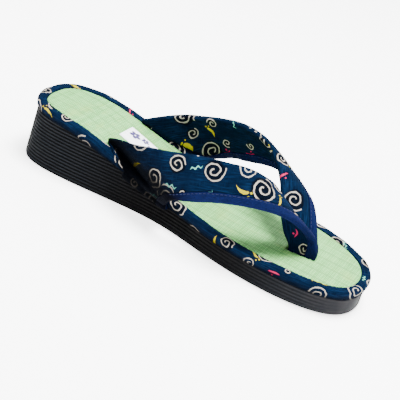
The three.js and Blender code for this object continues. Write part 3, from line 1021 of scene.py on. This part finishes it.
def unroll(rows, stations):
    # lays the strap's front and back edges flat, triangle by triangle
    ends = np.array([strapPoint(rows, u, [1, 0]) for u in stations])
    width = np.linalg.norm(ends[0, 1] - ends[0, 0])
    front, back = [np.zeros(2)], [np.array([0, width])]

    def corner(p, q, fromP, fromQ):
        gapLength = np.linalg.norm(q - p)
        along = (q - p) / gapLength
        share = (fromP**2 - fromQ**2 + gapLength**2) / (2 * gapLength)
        out = math.sqrt(max(fromP**2 - share**2, 0))
        return p + along * share + np.array([along[1], -along[0]]) * out

    for here, after in zip(ends[:-1], ends[1:]):
        toFront = [np.linalg.norm(after[0] - here[0]), np.linalg.norm(after[0] - here[1])]
        newFront = corner(front[-1], back[-1], toFront[0], toFront[1])
        toBack = [np.linalg.norm(after[1] - after[0]), np.linalg.norm(after[1] - here[1])]
        newBack = corner(newFront, back[-1], toBack[0], toBack[1])
        front.append(newFront)
        back.append(newBack)
    return np.array(front), np.array(back)


# Creases and soft ridges of the straps: along and across are shares, from the tab to the post and from the
# front edge to the back edge. Slant is how far it leans along from edge to edge, depth is in millimetres

creaseNames = "along across reachAlong reachAcross slant depth"
strapCreases = {
    "medial": table(creaseNames, [
        (0.245, 0.62, 0.02, 0.5, 0.05, -0.4),
        (0.285, 0.75, 0.024, 0.3, -0.06, -0.3),
        (0.33, 0.35, 0.02, 0.3, 0.12, -0.4),
        (0.36, 0.7, 0.03, 0.25, -0.08, 0.35),
        (0.47, 0.3, 0.05, 0.14, 0.1, -0.3),
        (0.6, 0.62, 0.035, 0.3, -0.1, -0.3),
        (0.72, 0.5, 0.016, 0.35, 0.07, -0.45),
        (0.775, 0.7, 0.013, 0.3, 0.05, -0.6),
        (0.83, 0.75, 0.012, 0.25, -0.04, -0.5),
    ]),
    "lateral": table(creaseNames, [
        (0.24, 0.6, 0.02, 0.5, 0.05, -0.4),
        (0.28, 0.35, 0.016, 0.3, -0.07, -0.45),
        (0.34, 0.72, 0.02, 0.3, 0.1, -0.4),
        (0.45, 0.5, 0.04, 0.3, 0.1, 0.3),
        (0.55, 0.68, 0.03, 0.25, -0.09, -0.35),
        (0.66, 0.4, 0.018, 0.3, 0.08, -0.4),
        (0.74, 0.68, 0.014, 0.3, 0.06, -0.6),
        (0.8, 0.72, 0.012, 0.28, -0.05, -0.55),
    ]),
}

upperLook = {
    "stations": 300,
    "firstStation": 0.03,
    "liningShift": (47.0, 29.0),  # the lining and the outer strap are cut from other places of the cloth
    "outerStrapShift": (173.0, 61.0),
    "padding": 0.34,  # how much fuller the middle of the strap is than its edges
    "bodyPoints": 34,
    "edgePoints": 9,
    "skinSpare": 0.45,  # of the thickness that is kept where the strap lies on the rand
    "baseShade": 0.97,  # painted shade: how much darker the cloth is made where it tucks in at the rand
    "shadeRows": (5.8, 9.4),  # rows of the strap between which the painted shade fades
    "shadeRise": (12, 40),  # and the same over the rush
    "innerShade": 0.1,  # share of it on the lining
    "boardRows": 7.5,  # rows up to which the strap is kept off the board
    "boardSpare": 0.12,
    "postRows": 12,  # rows from which it keeps to its own side of the post
    "postSpare": 0.1,
}


def creaseDepth(name, u, across, share):
    total = np.zeros_like(across)
    for crease in strapCreases[name]:
        along = (u - crease["along"] - crease["slant"] * (across - crease["across"])) / crease["reachAlong"]
        cross = (across - crease["across"]) / crease["reachAcross"]
        total += crease["depth"] * np.exp(-(along**2) - cross**2)
    return total * share


def coreSection(name, u, width):
    # outer face from the tongue in the binding to the back edge, then the inner face the same way back
    look = upperLook
    tongue = [(strapSizes["tongueInset"], 0.9), (3.5, 1.0), (6.1, 1.0), (bindingWidth + 0.1, 1.02)]
    shoulder = [(bindingWidth + 0.2, 1.35), (bindingWidth + 0.32, 1.6), (bindingWidth + 0.55, 1.74)]
    rounding = strapHalf
    start, end = bindingWidth + 0.9, width - 0.3 - rounding
    body = [(inset, strapHalf) for inset in np.linspace(start, end, look["bodyPoints"])]
    edge = []
    for k in range(1, look["edgePoints"] + 1):
        angle = math.pi / 2 * (1 - k / look["edgePoints"])
        edge.append((end + rounding * math.cos(angle), rounding * math.sin(angle)))
    outer = np.array(tongue + shoulder + body + edge)
    inner = outer[:-1][::-1] * (1, -1)
    inset = np.concatenate([outer[:, 0], inner[:, 0]])
    height = np.concatenate([outer[:, 1], inner[:, 1]])
    share = np.clip((inset - bindingWidth) / max(end + rounding - bindingWidth, 1), 0, 1)
    fullness = np.sin(math.pi * share) ** 0.8
    outerFace = height > 0
    swell = np.where(outerFace, look["padding"], 0.5 * look["padding"]) * fullness
    across = inset / width
    pinch = creaseDepth(name, u, across, fullness)
    shaped = height + np.sign(height) * swell + np.where(outerFace, pinch, 0.45 * pinch)
    return inset, shaped


def arcLengths(inset, height):
    steps = np.hypot(np.diff(inset), np.diff(height))
    return np.concatenate([[0], np.cumsum(steps)])


def bindingSection(name, u, width):
    # outer profile round the strap's front edge and the same profile inside it
    wall = 0.5
    proud = strapHalf + strapSizes["bindingProud"]
    ripple = 0.07 * math.sin(u * 260) + 0.05 * math.sin(u * 430 + 1)
    flank = [(bindingWidth + ripple, proud - 0.42), (bindingWidth - 0.08 + ripple, proud - 0.16)]
    flank += [(bindingWidth - 0.35 + ripple, proud - 0.02), (5.2, proud + 0.02), (4.2, proud + 0.05)]
    flank += [(3.2, proud + 0.04), (2.3, proud)]
    nose = []
    for k in range(1, 10):
        angle = math.pi / 2 * k / 9
        nose.append((1.6 - 2.2 * math.sin(angle), (proud - 0.02) * math.cos(angle)))
    outer = np.array(flank + nose)
    outside = np.vstack([outer, outer[:-1][::-1] * (1, -1)])
    inner = [(inset, proud - wall) for inset in (bindingWidth, 5, 2.6)]
    inner = np.array(inner + [(1.3, 1.3), (0.6, 0.7)])
    inside = np.vstack([inner, inner[::-1] * (1, -1)])[::-1]
    section = np.vstack([outside, inside])
    return section[:, 0], section[:, 1]


def sweep(name, sectionOf, stations, firstFace):
    # draws a section along a strap, and gives points, faces, the cloth's corners and each point's painted
    # shade
    look = upperLook
    strap = straps[name]
    rows = strapRows(strap)
    last = len(rows) - 1
    front, back = unroll(rows, stations)
    grid, uv, shades = [], [], []
    for i, u in enumerate(stations):
        width, raised = strapFrame(strap, rows, u)
        inset, height = sectionOf(name, u, width)
        points = raised(inset, height)
        if u * last < look["boardRows"]:
            keep = look["skinSpare"] * np.clip(height + strapHalf, 0, 2 * strapHalf + 1)
            points = clearBoard(points, look["boardSpare"] + keep)
        if u * last > look["postRows"]:
            points = postSide(points, strap["side"], look["postSpare"])
        grid.append(points)
        rise = points[:, 2] - rushHeight(points[:, 0])
        # painted shade: darkest at the strap's base by the rand and low over the rush, only a little on the
        # lining
        deep = look["baseShade"] * (1 - smooth(u * last, *look["shadeRows"]))
        low = (1 - smooth(rise, *look["shadeRise"])) ** 0.5
        shades.append(deep * low * np.where(height > 0, 1, look["innerShade"]))
        arc = arcLengths(inset, height)
        turn = inset.argmax()
        flat = np.where(np.arange(len(arc)) <= turn, arc, 2 * arc[turn] - arc) + firstFace
        across = unit(back[i] - front[i])
        uv.append(front[i] + across * np.append(flat, flat[0])[:, None])
    grid, uv = np.array(grid), np.array(uv)
    count = grid.shape[1]
    faces, corners = gridFaces(len(stations), count, False, True, uv)
    for index, corner in enumerate(corners):
        if index % count >= turn:
            corners[index] = [c + np.array(look["liningShift"]) for c in corner]
    for base, row in ((0, 0), ((len(stations) - 1) * count, -1)):
        ends = capFaces(base, count)
        if row == 0:
            ends = [face[::-1] for face in ends]
        faces += ends
        corners += [[uv[row, index - base] for index in face] for face in ends]
    return grid.reshape(-1, 3), faces, corners, np.concatenate(shades)


def joinStraps(name, sectionOf, firstFace, names):
    points, faces, corners, shades = [], [], [], []
    for strapName in names:
        stations = np.linspace(upperLook["firstStation"], 1, upperLook["stations"])
        made, madeFaces, madeCorners, shade = sweep(strapName, sectionOf, stations, firstFace)
        base = sum(len(p) for p in points)
        if straps[strapName]["side"] > 0:
            madeFaces = [face[::-1] for face in madeFaces]
            madeCorners = [list(corner)[::-1] for corner in madeCorners]
            shift = np.array(upperLook["outerStrapShift"])
            madeCorners = [[c + shift for c in corner] for corner in madeCorners]
        points.append(made)
        shades.append(shade)
        faces += [tuple(index + base for index in face) for face in madeFaces]
        corners += madeCorners
    obj = makeMesh(name, np.vstack(points), faces, corners)
    addAttribute(obj, "shade", np.concatenate(shades))
    return turnOutward(obj)


def makeUpper():
    obj = joinStraps("paddedStraps", coreSection, strapSizes["tongueInset"], list(straps))
    obj.data.materials.append(upperCloth)
    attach(obj, "root")
    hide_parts("upper")


makeUpper()
print("straps made")


def makeBinding(name):
    obj = joinStraps(name + "Binding", bindingSection, 0.0, [name])
    obj.data.materials.append(bindCloth)
    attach(obj, "root")
    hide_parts("binding_" + name)


for strapName in straps:
    makeBinding(strapName)
print("bindings made")


# Stitches: small threads set along a line

stitchLook = {
    "pitch": 2.6,
    "length": 1.75,
    "width": 0.4,
    "fromEdge": 1.0,  # of the binding's stitches, from its inner edge
    "lift": 0.04,
    "fromRow": 6.6,  # rows of the strap between which the outer face is stitched
    "toRow": 17.6,
    "toInnerRow": 14.4,
    "navy": (0.006, 0.011, 0.045),
    "white": (0.74, 0.74, 0.77),
}


def stitchTree(name, material):
    look = stitchLook
    group, tree, start, end = newGeometryTree(name)
    inputs = addInputs(group, {
        "Stitch pitch": look["pitch"] * mm,
        "Stitch length": look["length"] * mm,
        "Stitch width": look["width"] * mm,
    })
    value = start.outputs
    curve = tree.add("GeometryNodeMeshToCurve")
    tree.plug(curve.inputs["Mesh"], value["Geometry"])
    spaced = tree.add("GeometryNodeResampleCurve", mode="LENGTH")
    tree.plug(spaced.inputs["Curve"], curve.outputs[0])
    tree.plug(spaced.inputs["Length"], value["Stitch pitch"])
    thread = tree.add("GeometryNodeMeshUVSphere")
    thread.inputs["Segments"].default_value = 8
    thread.inputs["Rings"].default_value = 6
    thread.inputs["Radius"].default_value = 0.5
    aligned = tree.add("FunctionNodeAlignRotationToVector", axis="X")
    tree.plug(aligned.inputs["Vector"], tree.add("GeometryNodeInputTangent").outputs[0])
    place = tree.add("GeometryNodeInstanceOnPoints")
    tree.plug(place.inputs["Points"], spaced.outputs[0])
    tree.plug(place.inputs["Instance"], thread.outputs[0])
    tree.plug(place.inputs["Rotation"], aligned.outputs[0])
    size = tree.join(value["Stitch length"], value["Stitch width"], value["Stitch width"])
    tree.plug(place.inputs["Scale"], size)
    finishTree(tree, end, place.outputs[0], material)
    return group, inputs


def makeStitches(name, lines, tint):
    points, edges = [], []
    for line in lines:
        base = sum(len(p) for p in points)
        points.append(line)
        edges += [(base + i, base + i + 1) for i in range(len(line) - 1)]
    path = makeMesh(name + "Path", np.vstack(points), [], edges=edges)
    group, inputs = stitchTree(name, threadFinish(name + "Thread", tint))
    obj = applyTree(path, group, inputs, name)
    obj.data.shade_smooth()
    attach(obj, "root")


def strapLine(name, inset, height, fromRow, toRow):
    strap = straps[name]
    rows = strapRows(strap)
    last = len(rows) - 1
    line = []
    for u in np.linspace(fromRow / last, toRow / last, 160):
        _, raised = strapFrame(strap, rows, u)
        line.append(raised([inset], [height])[0])
    return np.array(line)


def stitchBinding(name):
    look = stitchLook
    inset = bindingWidth - look["fromEdge"]
    proud = strapHalf + strapSizes["bindingProud"] + look["lift"]
    outer = strapLine(name, inset, proud, look["fromRow"], look["toRow"])
    inner = strapLine(name, inset, -proud, look["fromRow"], look["toInnerRow"])
    makeStitches(name + "BindingStitches", [outer, inner], look["navy"])


for strapName in straps:
    stitchBinding(strapName)
print("binding stitches made")


def makeRand():
    look = randLook
    count = look["stations"]
    angles = math.pi + roundAngles(count)
    wrap = np.array([
        (look["width"], -look["lip"]),
        (look["wall"], -look["lip"]),
        (look["wall"], look["lip"] - boardDepth),
        (look["tuck"], look["lip"] - boardDepth),
        (look["tuck"], -boardDepth),
    ])
    section = np.vstack([randCurve, wrap])
    outlineAt = outlinePoint(angles)
    steps = np.linalg.norm(np.roll(outlineAt, -1, 0) - outlineAt, axis=1)
    along = np.concatenate([[0], np.cumsum(steps)])
    arc = along[:-1]
    bend = smooth(np.abs(outlineAt[:, 0]) / halfLength, 0.55, 0.9)  # where the edge rounds heel and toe
    turns = arc * 2 * math.pi
    main, wide, fine = look["gatherPitches"]
    folds = 0.5 * np.sin(turns / main + 1.4 * np.sin(arc / 4.1)) + 0.3 * np.sin(turns / wide + 0.9)
    folds += 0.2 * np.sin(turns / fine + 2 * np.sin(arc / 7))
    long, short = look["swellPitches"]
    swell = 0.12 * np.sin(turns / long + 0.6) + 0.1 * np.sin(turns / short)
    outward = profileNormals(randCurve)
    place = np.linspace(0, 1, len(randCurve))
    inner = smooth(place, 0.62, 0.85) * (1 - 0.6 * smooth(place, 0.93, 1))
    lower = (1 - smooth(place, 0.05, 0.3)) * 0.6
    middle = np.sin(math.pi * np.clip(place, 0, 1)) ** 0.6
    grid = np.zeros((count, len(section), 3))
    for i in range(count):
        shape = section.copy()
        lift = look["gather"] * (look["straightGather"] + bend[i]) * folds[i] * (inner + lower)
        lift += swell[i] * middle
        shape[: len(randCurve)] += outward * lift[:, None]
        flat = outlineAt[i] + inwardNormal(angles[i]) * shape[:, :1]
        grid[i, :, :2] = flat
        grid[i, :, 2] = rushHeight(flat[:, 0]) + shape[:, 1]
    across = arcLengths(*np.vstack([section, section[:1]]).T)
    uv = np.stack(np.meshgrid(along, across, indexing="ij"), -1)
    faces, corners = gridFaces(count, len(section), True, True, uv)
    obj = makeMesh("clothRand", grid.reshape(-1, 3), faces, corners)
    # painted shade, darkest at the rand's lower edge by the sole
    deep = np.zeros((count, len(section)))
    deep[:, : len(randCurve)] = look["edgeShade"] * (1 - smooth(place, 0.02, look["edgeReach"]))
    addAttribute(obj, "shade", deep)
    turnOutward(obj)
    obj.data.materials.append(randCloth)
    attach(obj, "root")
    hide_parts("rand")


makeRand()
print("rand made")


def rubber():
    look = soleLook
    material, tree, shader = newMaterial("ribbedRubber", 0.62, specular=look["gloss"])
    place = tree.place()
    x, _, z = tree.split(place)
    half = look["ribPitch"] / 2 * mm
    wave = tree.over(tree.maths("PINGPONG", z, half), half)
    # painted shade in the grooves between the ribs
    fade = tree.attribute("ribFade")
    deep = tree.times(tree.ramp(wave, 0.28, 0.58), fade)
    # painted shade over the middle of the sole, then painted light towards the toe
    middle = tree.times(tree.ramp(x, *look["middleRear"]), tree.ramp(x, *look["middleFront"], 1.0, 0.0))
    crest = tree.blend(middle, look["crest"], look["middle"])
    crest = tree.blend(tree.ramp(x, *look["toeFront"]), crest, look["paintedToeLight"])
    dust = tree.noise(place, 90.0, 4.0)
    # random dust lightens the crests, but is kept out of the middle's painted shade
    dustOutsidePaintedShade = tree.times(tree.ramp(dust, 0.35, 0.8, 0.0, 0.5), tree.scaled(middle, -0.9, 1.0))
    crest = tree.blend(dustOutsidePaintedShade, crest, tuple(1.5 * c for c in look["crest"]))
    tree.plug(shader.inputs["Base Color"], tree.blend(deep, crest, look["groove"]))
    fine = tree.noise(place, 1500.0, 3.0)
    tree.plug(shader.inputs["Roughness"], tree.ramp(dust, 0.2, 0.8, 0.5, 0.75))
    addBump(tree, shader, fine, 0.05, 0.5)
    return material


def ribTree(material):
    look = soleLook
    group, tree, start, end = newGeometryTree("ribs")
    inputs = addInputs(group, {
        "Rib pitch": look["ribPitch"] * mm,
        "Rib depth": look["ribDepth"] * mm,
        "Groove share": look["grooveShare"],
    })
    value = start.outputs
    height = tree.split(tree.add("GeometryNodeInputPosition").outputs[0])[2]
    half = tree.over(value["Rib pitch"], 2.0)
    wave = tree.over(tree.maths("PINGPONG", height, half), half)
    edge = tree.inverse(value["Groove share"])
    groove = tree.ramp(wave, tree.minus(edge, 0.14), tree.plus(edge, 0.2))
    depth = tree.times(tree.times(groove, value["Rib depth"]), tree.named("ribFade"))
    offset = tree.vector("SCALE", tree.named("outward", "FLOAT_VECTOR"), scale=tree.times(depth, -1.0))
    finishTree(tree, end, movedBy(tree, value["Geometry"], offset), material)
    return group, inputs


def makeSole():
    look = soleLook
    count = look["stations"]
    angles = roundAngles(count)
    pitch = look["ribPitch"]
    highest = sandal["foreHeight"] + sandal["heelLift"] - boardDepth - gap
    phases = np.arange(look["rowsPerRib"]) / look["rowsPerRib"]
    levels = list(look["footRows"])
    for k in range(int(highest / pitch) + 2):
        heights = [pitch * (k + phase) for phase in phases]
        levels += [height for height in heights if look["ribsFrom"] < height < highest + gap]
    levels = np.array(levels)
    inward = inwardNormal(angles)
    along = insetPoint(angles, (look["insetTop"] + look["insetBottom"]) / 2)
    top = soleTop(along[:, 0])
    for strap in straps.values():  # the straps' ends come out in notches of the top edge
        own = np.sign(along[:, 1]) == strap["side"]
        rear, front = halfLength * strap["tabRear"], halfLength * strap["tabFront"]
        window = smooth(along[:, 0], rear - look["notchOut"], rear + look["notchIn"])
        window = window * (1 - smooth(along[:, 0], front - look["notchIn"], front + look["notchOut"]))
        top = top - np.where(own, window * (2 * tabHalf + gap), 0)
    tread = treadHeight(along[:, 0])
    points = np.zeros((len(levels), count, 3))
    for k, level in enumerate(levels):
        z = np.clip(level + np.where(level < look["ribsFrom"], tread, 0), tread, top)
        lean = np.minimum(1, z / soleTop(along[:, 0]))
        above = np.minimum(z - tread, look["edgeRound"])
        rounded = look["edgeRound"] - np.sqrt(look["edgeRound"]**2 - (look["edgeRound"] - above) ** 2)
        inset = look["insetBottom"] + (look["insetTop"] - look["insetBottom"]) * lean + rounded
        points[k, :, :2] = outlinePoint(angles) + inward * inset[:, None]
        points[k, :, 2] = z
    faces = []
    for k in range(len(levels) - 1):
        for i in range(count):
            a, b = k * count + i, k * count + (i + 1) % count
            faces.append((a, b, b + count, a + count))
    roof = (len(levels) - 1) * count
    for i in range(count // 2):
        a, b, c, d = i, i + 1, (count - i - 1) % count, (count - i) % count
        ring = [a, b, c, d] if a != d and b != c else ([a, b, c] if a == d else [a, b, d])
        faces.append(tuple(ring[::-1]))
        faces.append(tuple(roof + index for index in ring))
    obj = makeMesh("soleBody", points.reshape(-1, 3), faces)
    outward = np.tile(np.column_stack([-inward, np.zeros(count)]), (len(levels), 1))
    fade = np.tile(ribFade(along[:, 0]), len(levels))
    fade[(points[:, :, 2] - tread < look["plainFoot"]).ravel()] = 0
    addAttribute(obj, "outward", outward, "FLOAT_VECTOR")
    addAttribute(obj, "ribFade", fade)
    editMesh(obj, dropDoubles)
    obj.data.shade_smooth()
    group, inputs = ribTree(rubber())
    sole = applyTree(obj, group, inputs, "ribbedSole")
    turnOutward(sole)
    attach(sole, "root")
    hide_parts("sole")


makeSole()
print("sole made")

# Insole: rush strands laid across the sandal, bound by lengthwise warps

rushLook = {
    "inset": 6.5,
    "strandPitch": 1.65,
    "rowsPerStrand": 4,
    "columns": 64,
    "strandRise": 0.17,
    "warpPitch": 9.4,
    "warpShift": 3.0,
    "warpReach": 2.0,
    "warpDip": 0.04,
    "dotPitch": 2.1,
    "slotLength": 19.4,
    "slotWidth": 7.7,
    "slotRound": 1.6,
    "endRows": (0.03, 0.12, 0.28),  # closer rows at heel and toe
    "rowSpare": 0.4,
    "edgeRoll": 0.45,
    "rollReach": 1.6,
    "slotPress": 0.5,
    "pressReach": 3.5,
    "green": (0.06, 0.245, 0.05),
    "pale": (0.19, 0.47, 0.155),
    "tan": (0.22, 0.36, 0.075),
    "shade": (0.055, 0.14, 0.035),
}


def rushFinish():
    look = rushLook
    material, tree, shader = newMaterial("rush", 0.6, 0.03, 0.5, (0.9, 1.0, 0.8), 0.25)
    place = tree.place(scale=1 / mm)
    x, y, _ = tree.split(place)
    bend = tree.noise(tree.join(tree.times(x, 0.1), tree.times(y, 0.25)), 1.0, 1.0)
    strand = tree.over(tree.plus(x, tree.scaled(bend, 0.5, -0.25)), look["strandPitch"])
    index = tree.maths("FLOOR", strand)
    white = tree.add("ShaderNodeTexWhiteNoise", noise_dimensions="1D")
    tree.plug(white.inputs["W"], index)
    chance = white.outputs["Value"]
    grain = tree.streaks(place, 1.9, 0.05, 3.0)
    lanes = tree.streaks(place, 0.03, 0.3, 3.0)
    patches = tree.streaks(place, 0.05, 0.035, 2.0)
    tone = tree.plus(tree.times(chance, 0.12), tree.times(grain, 0.6))
    tone = tree.plus(tone, tree.times(lanes, 0.45))
    dots = tree.maths("SINE", tree.times(y, 2 * math.pi / look["dotPitch"]))
    swapped = tree.maths("SINE", tree.times(strand, math.pi))
    tone = tree.scaled(tree.times(dots, swapped), 0.24, tone)
    base = tree.blend(tree.ramp(tone, 0.3, 0.85), look["green"], look["pale"])
    brown = tree.ramp(tree.plus(tree.times(lanes, 0.6), patches), 0.78, 1.05, 0.0, 0.5)
    base = tree.blend(brown, base, look["tan"])
    edge = tree.maths("ABSOLUTE", tree.minus(tree.maths("FRACT", strand), 0.5))
    groove = tree.ramp(edge, 0.3, 0.5, 0.0, 0.6)
    half = look["warpPitch"] / 2
    warp = tree.maths("PINGPONG", tree.plus(y, look["warpShift"]), half)
    beat = tree.scaled(tree.streaks(place, 0.12, 0.1, 2.0), 0.9, 0.1)
    line = tree.times(tree.ramp(warp, 0.15, 1.1, 1.0, 0.0), beat)
    # painted shade in the grooves between the strands; the same colour darkens the lines along the warps
    base = tree.blend(tree.maths("MAXIMUM", groove, line), base, look["shade"])
    tree.plug(shader.inputs["Base Color"], base)
    fibres = tree.streaks(place, 9.0, 0.25, 2.0)
    height = tree.plus(tree.times(fibres, 0.5), tree.times(groove, -0.8))
    addBump(tree, shader, height, 0.12, 0.8)
    return material


def weaveTree(material):
    look = rushLook
    group, tree, start, end = newGeometryTree("rushWeave")
    inputs = addInputs(group, {
        "Strand pitch": look["strandPitch"] * mm,
        "Strand rise": look["strandRise"] * mm,
        "Warp pitch": look["warpPitch"] * mm,
        "Warp shift": look["warpShift"] * mm,
        "Warp reach": look["warpReach"] * mm,
        "Warp dip": look["warpDip"] * mm,
    })
    value = start.outputs
    x, y, _ = tree.split(tree.add("GeometryNodeInputPosition").outputs[0])
    strand = tree.over(x, value["Strand pitch"])
    centre = tree.scaled(tree.maths("FRACT", strand), 2.0, -1.0)
    profile = tree.maths("SQRT", tree.inverse(tree.times(tree.times(centre, centre), 0.96)))
    rise = tree.times(tree.minus(profile, 1.0), value["Strand rise"])
    shifted = tree.plus(y, value["Warp shift"])
    half = tree.over(value["Warp pitch"], 2.0)
    toWarp = tree.maths("PINGPONG", shifted, half)
    near = tree.ramp(toWarp, 0.0, value["Warp reach"], 1.0, 0.0)
    lane = tree.maths("ROUND", tree.over(shifted, value["Warp pitch"]))
    parity = tree.maths("PINGPONG", tree.plus(tree.maths("FLOOR", strand), lane), 1.0)
    sign = tree.scaled(parity, 1.0, -1.0)
    dip = tree.times(tree.times(near, sign), value["Warp dip"])
    lift = tree.times(tree.plus(rise, dip), tree.named("rushTop"))
    finishTree(tree, end, movedBy(tree, value["Geometry"], tree.join(z=lift)), material)
    return group, inputs


def slotEdge(points):
    # how far the points lie outside the post's rounded slot
    look = rushLook
    turn = math.radians(post["turn"])
    away = points - np.array([post["x"], post["y"]])
    own = np.stack([
        away[..., 0] * math.cos(turn) + away[..., 1] * math.sin(turn),
        -away[..., 0] * math.sin(turn) + away[..., 1] * math.cos(turn),
    ], -1)
    half = np.array([look["slotLength"], look["slotWidth"]]) / 2 - look["slotRound"]
    beyond = np.abs(own) - half
    outside = np.linalg.norm(np.maximum(beyond, 0), axis=-1) + np.minimum(beyond.max(-1), 0)
    return outside - look["slotRound"]


def makeInsole():
    look = rushLook
    sides = {side: edgeTable(side, look["inset"]) for side in (-1, 1)}
    low = max(sides[-1][0, 0], sides[1][0, 0])
    high = min(sides[-1][-1, 0], sides[1][-1, 0])
    step = look["strandPitch"] / look["rowsPerStrand"]
    rows = np.arange(math.ceil(low / step), math.floor(high / step) + 1) * step
    ends = np.array(look["endRows"])
    rows = rows[(rows > low + look["rowSpare"]) & (rows < high - look["rowSpare"])]
    rows = np.unique(np.concatenate([low + ends, rows, high - ends]))
    share = np.linspace(0, 1, look["columns"])
    medial = np.interp(rows, sides[-1][:, 0], sides[-1][:, 1])
    lateral = np.interp(rows, sides[1][:, 0], sides[1][:, 1])
    y = medial[:, None] + (lateral - medial)[:, None] * share
    x = np.repeat(rows[:, None], len(share), 1)
    edge = np.minimum(y - medial[:, None], lateral[:, None] - y)
    edge = np.minimum(edge, np.minimum(x - low, high - x) * 1.5)
    roll = look["edgeRoll"] * (1 - smooth(edge, 0, look["rollReach"]))
    outside = slotEdge(np.stack([x, y], -1))
    press = look["slotPress"] * (1 - smooth(outside, 0, look["pressReach"]))
    hole = outside < 0
    holes = hole[:-1, :-1] | hole[1:, :-1] | hole[:-1, 1:] | hole[1:, 1:]
    obj = makeSlab("rushBody", x, y, rushHeight(x) - roll - press, rushHeight(x) - boardDepth, holes)
    weight = (smooth(edge, -0.1, 0.9) * smooth(outside, -0.5, 1)).ravel()
    addAttribute(obj, "rushTop", np.concatenate([weight, np.zeros(weight.size)]))
    editMesh(obj, dropLoose)
    obj.data.shade_smooth()
    group, inputs = weaveTree(rushFinish())
    insole = applyTree(obj, group, inputs, "rushInsole")
    turnOutward(insole)
    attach(insole, "root")
    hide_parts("insole")


makeInsole()
print("insole made")

# Label: white cloth patch with a plain ornament of small blossoms

labelLook = {
    "x": -46.6,
    "y": 4.5,
    "length": 33.2,
    "width": 19,
    "thickness": 0.45,
    "cloth": (0.93, 0.94, 0.97),
    "shade": (0.81, 0.82, 0.88),
    "ink": (0.012, 0.002, 0.09),
    "petals": 5,
    "blossoms": ((-10.2, 2.6, 4.4), (-3.0, 5.2, 3.1), (3.2, 1.6, 3.6), (9.8, 4.2, 2.6)),  # x, y and radius
    "gapUnder": 0.08,
    "seamInset": 1.1,
    "corner": 0.012,  # how far the corners draw in, as a share
    "points": (71, 39),
    "hemAt": 0.9,
    "hemRise": 0.12,
    "seamAt": 1.7,
    "seamDip": 0.16,
    "ripple": 0.08,
}


def labelFinish():
    look = labelLook
    material, tree, shader = newMaterial("labelCloth", 0.55, 0.1, 0.4, specular=0.4)
    place = tree.place(scale=1 / mm)
    centred = tree.vector("SUBTRACT", place, (float(look["x"]), look["y"] + yShift, 0.0))
    x, y, _ = tree.split(centred)
    ink = None
    for atX, atY, size in look["blossoms"]:
        dx, dy = tree.minus(x, atX), tree.minus(y, atY)
        angle = tree.maths("ARCTAN2", dy, dx)
        petal = tree.maths("ABSOLUTE", tree.maths("COSINE", tree.times(angle, look["petals"] / 2)))
        reach = tree.times(tree.scaled(petal, 0.45, 0.55), size)
        radius = tree.vector("LENGTH", tree.join(dx, dy))
        share = tree.over(radius, reach)
        drawn = tree.inverse(tree.ramp(share, 0.85, 1.05))
        heart = tree.ramp(radius, size * 0.08, size * 0.2)
        flower = tree.times(drawn, heart)
        ink = flower if ink is None else tree.maths("MAXIMUM", ink, flower)
    threads = weave(tree, place, 0.5)
    base = tree.blend(tree.noise(place, 0.3, 2.0), look["shade"], look["cloth"])
    tree.plug(shader.inputs["Base Color"], tree.blend(ink, base, look["ink"]))
    addBump(tree, shader, threads, 0.05, 0.6)
    return material


def makeLabel():
    look = labelLook
    a, b = np.meshgrid(*(np.linspace(-1, 1, count) for count in look["points"]), indexing="ij")
    x = look["x"] + look["length"] / 2 * a * (1 - look["corner"] * b**8)
    y = look["y"] + look["width"] / 2 * b * (1 - look["corner"] * a**8)
    edge = np.minimum((1 - np.abs(a)) * look["length"] / 2, (1 - np.abs(b)) * look["width"] / 2)
    hem = look["hemRise"] * np.exp(-((edge - look["hemAt"]) / 0.5) ** 2)
    hem = hem - look["seamDip"] * np.exp(-((edge - look["seamAt"]) / 0.4) ** 2)
    soft = look["ripple"] * np.sin(x * 0.55 + 0.4) * np.sin(y * 0.7)
    under = rushHeight(x) + look["gapUnder"]
    over = under + look["thickness"] + hem + soft - 0.2 * (1 - smooth(edge, 0, 0.6))
    obj = turnOutward(makeSlab("clothLabel", x, y, over, under))
    obj.data.materials.append(labelFinish())
    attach(obj, "root")
    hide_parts("label")
    half = np.array([look["length"], look["width"]]) / 2 - look["seamInset"]
    turns = np.array([(-1, -1), (1, -1), (1, 1), (-1, 1), (-1, -1)])
    share = np.linspace(0, 1, 30)[:-1, None]
    sides = [start + (end - start) * share for start, end in zip(turns[:-1], turns[1:])]
    ring = np.vstack(sides) * half + (look["x"], look["y"])
    rise = rushHeight(ring[:, 0]) + look["gapUnder"] + look["thickness"]
    makeStitches("labelStitches", [np.column_stack([ring, rise])], stitchLook["white"])


makeLabel()
print("label made")
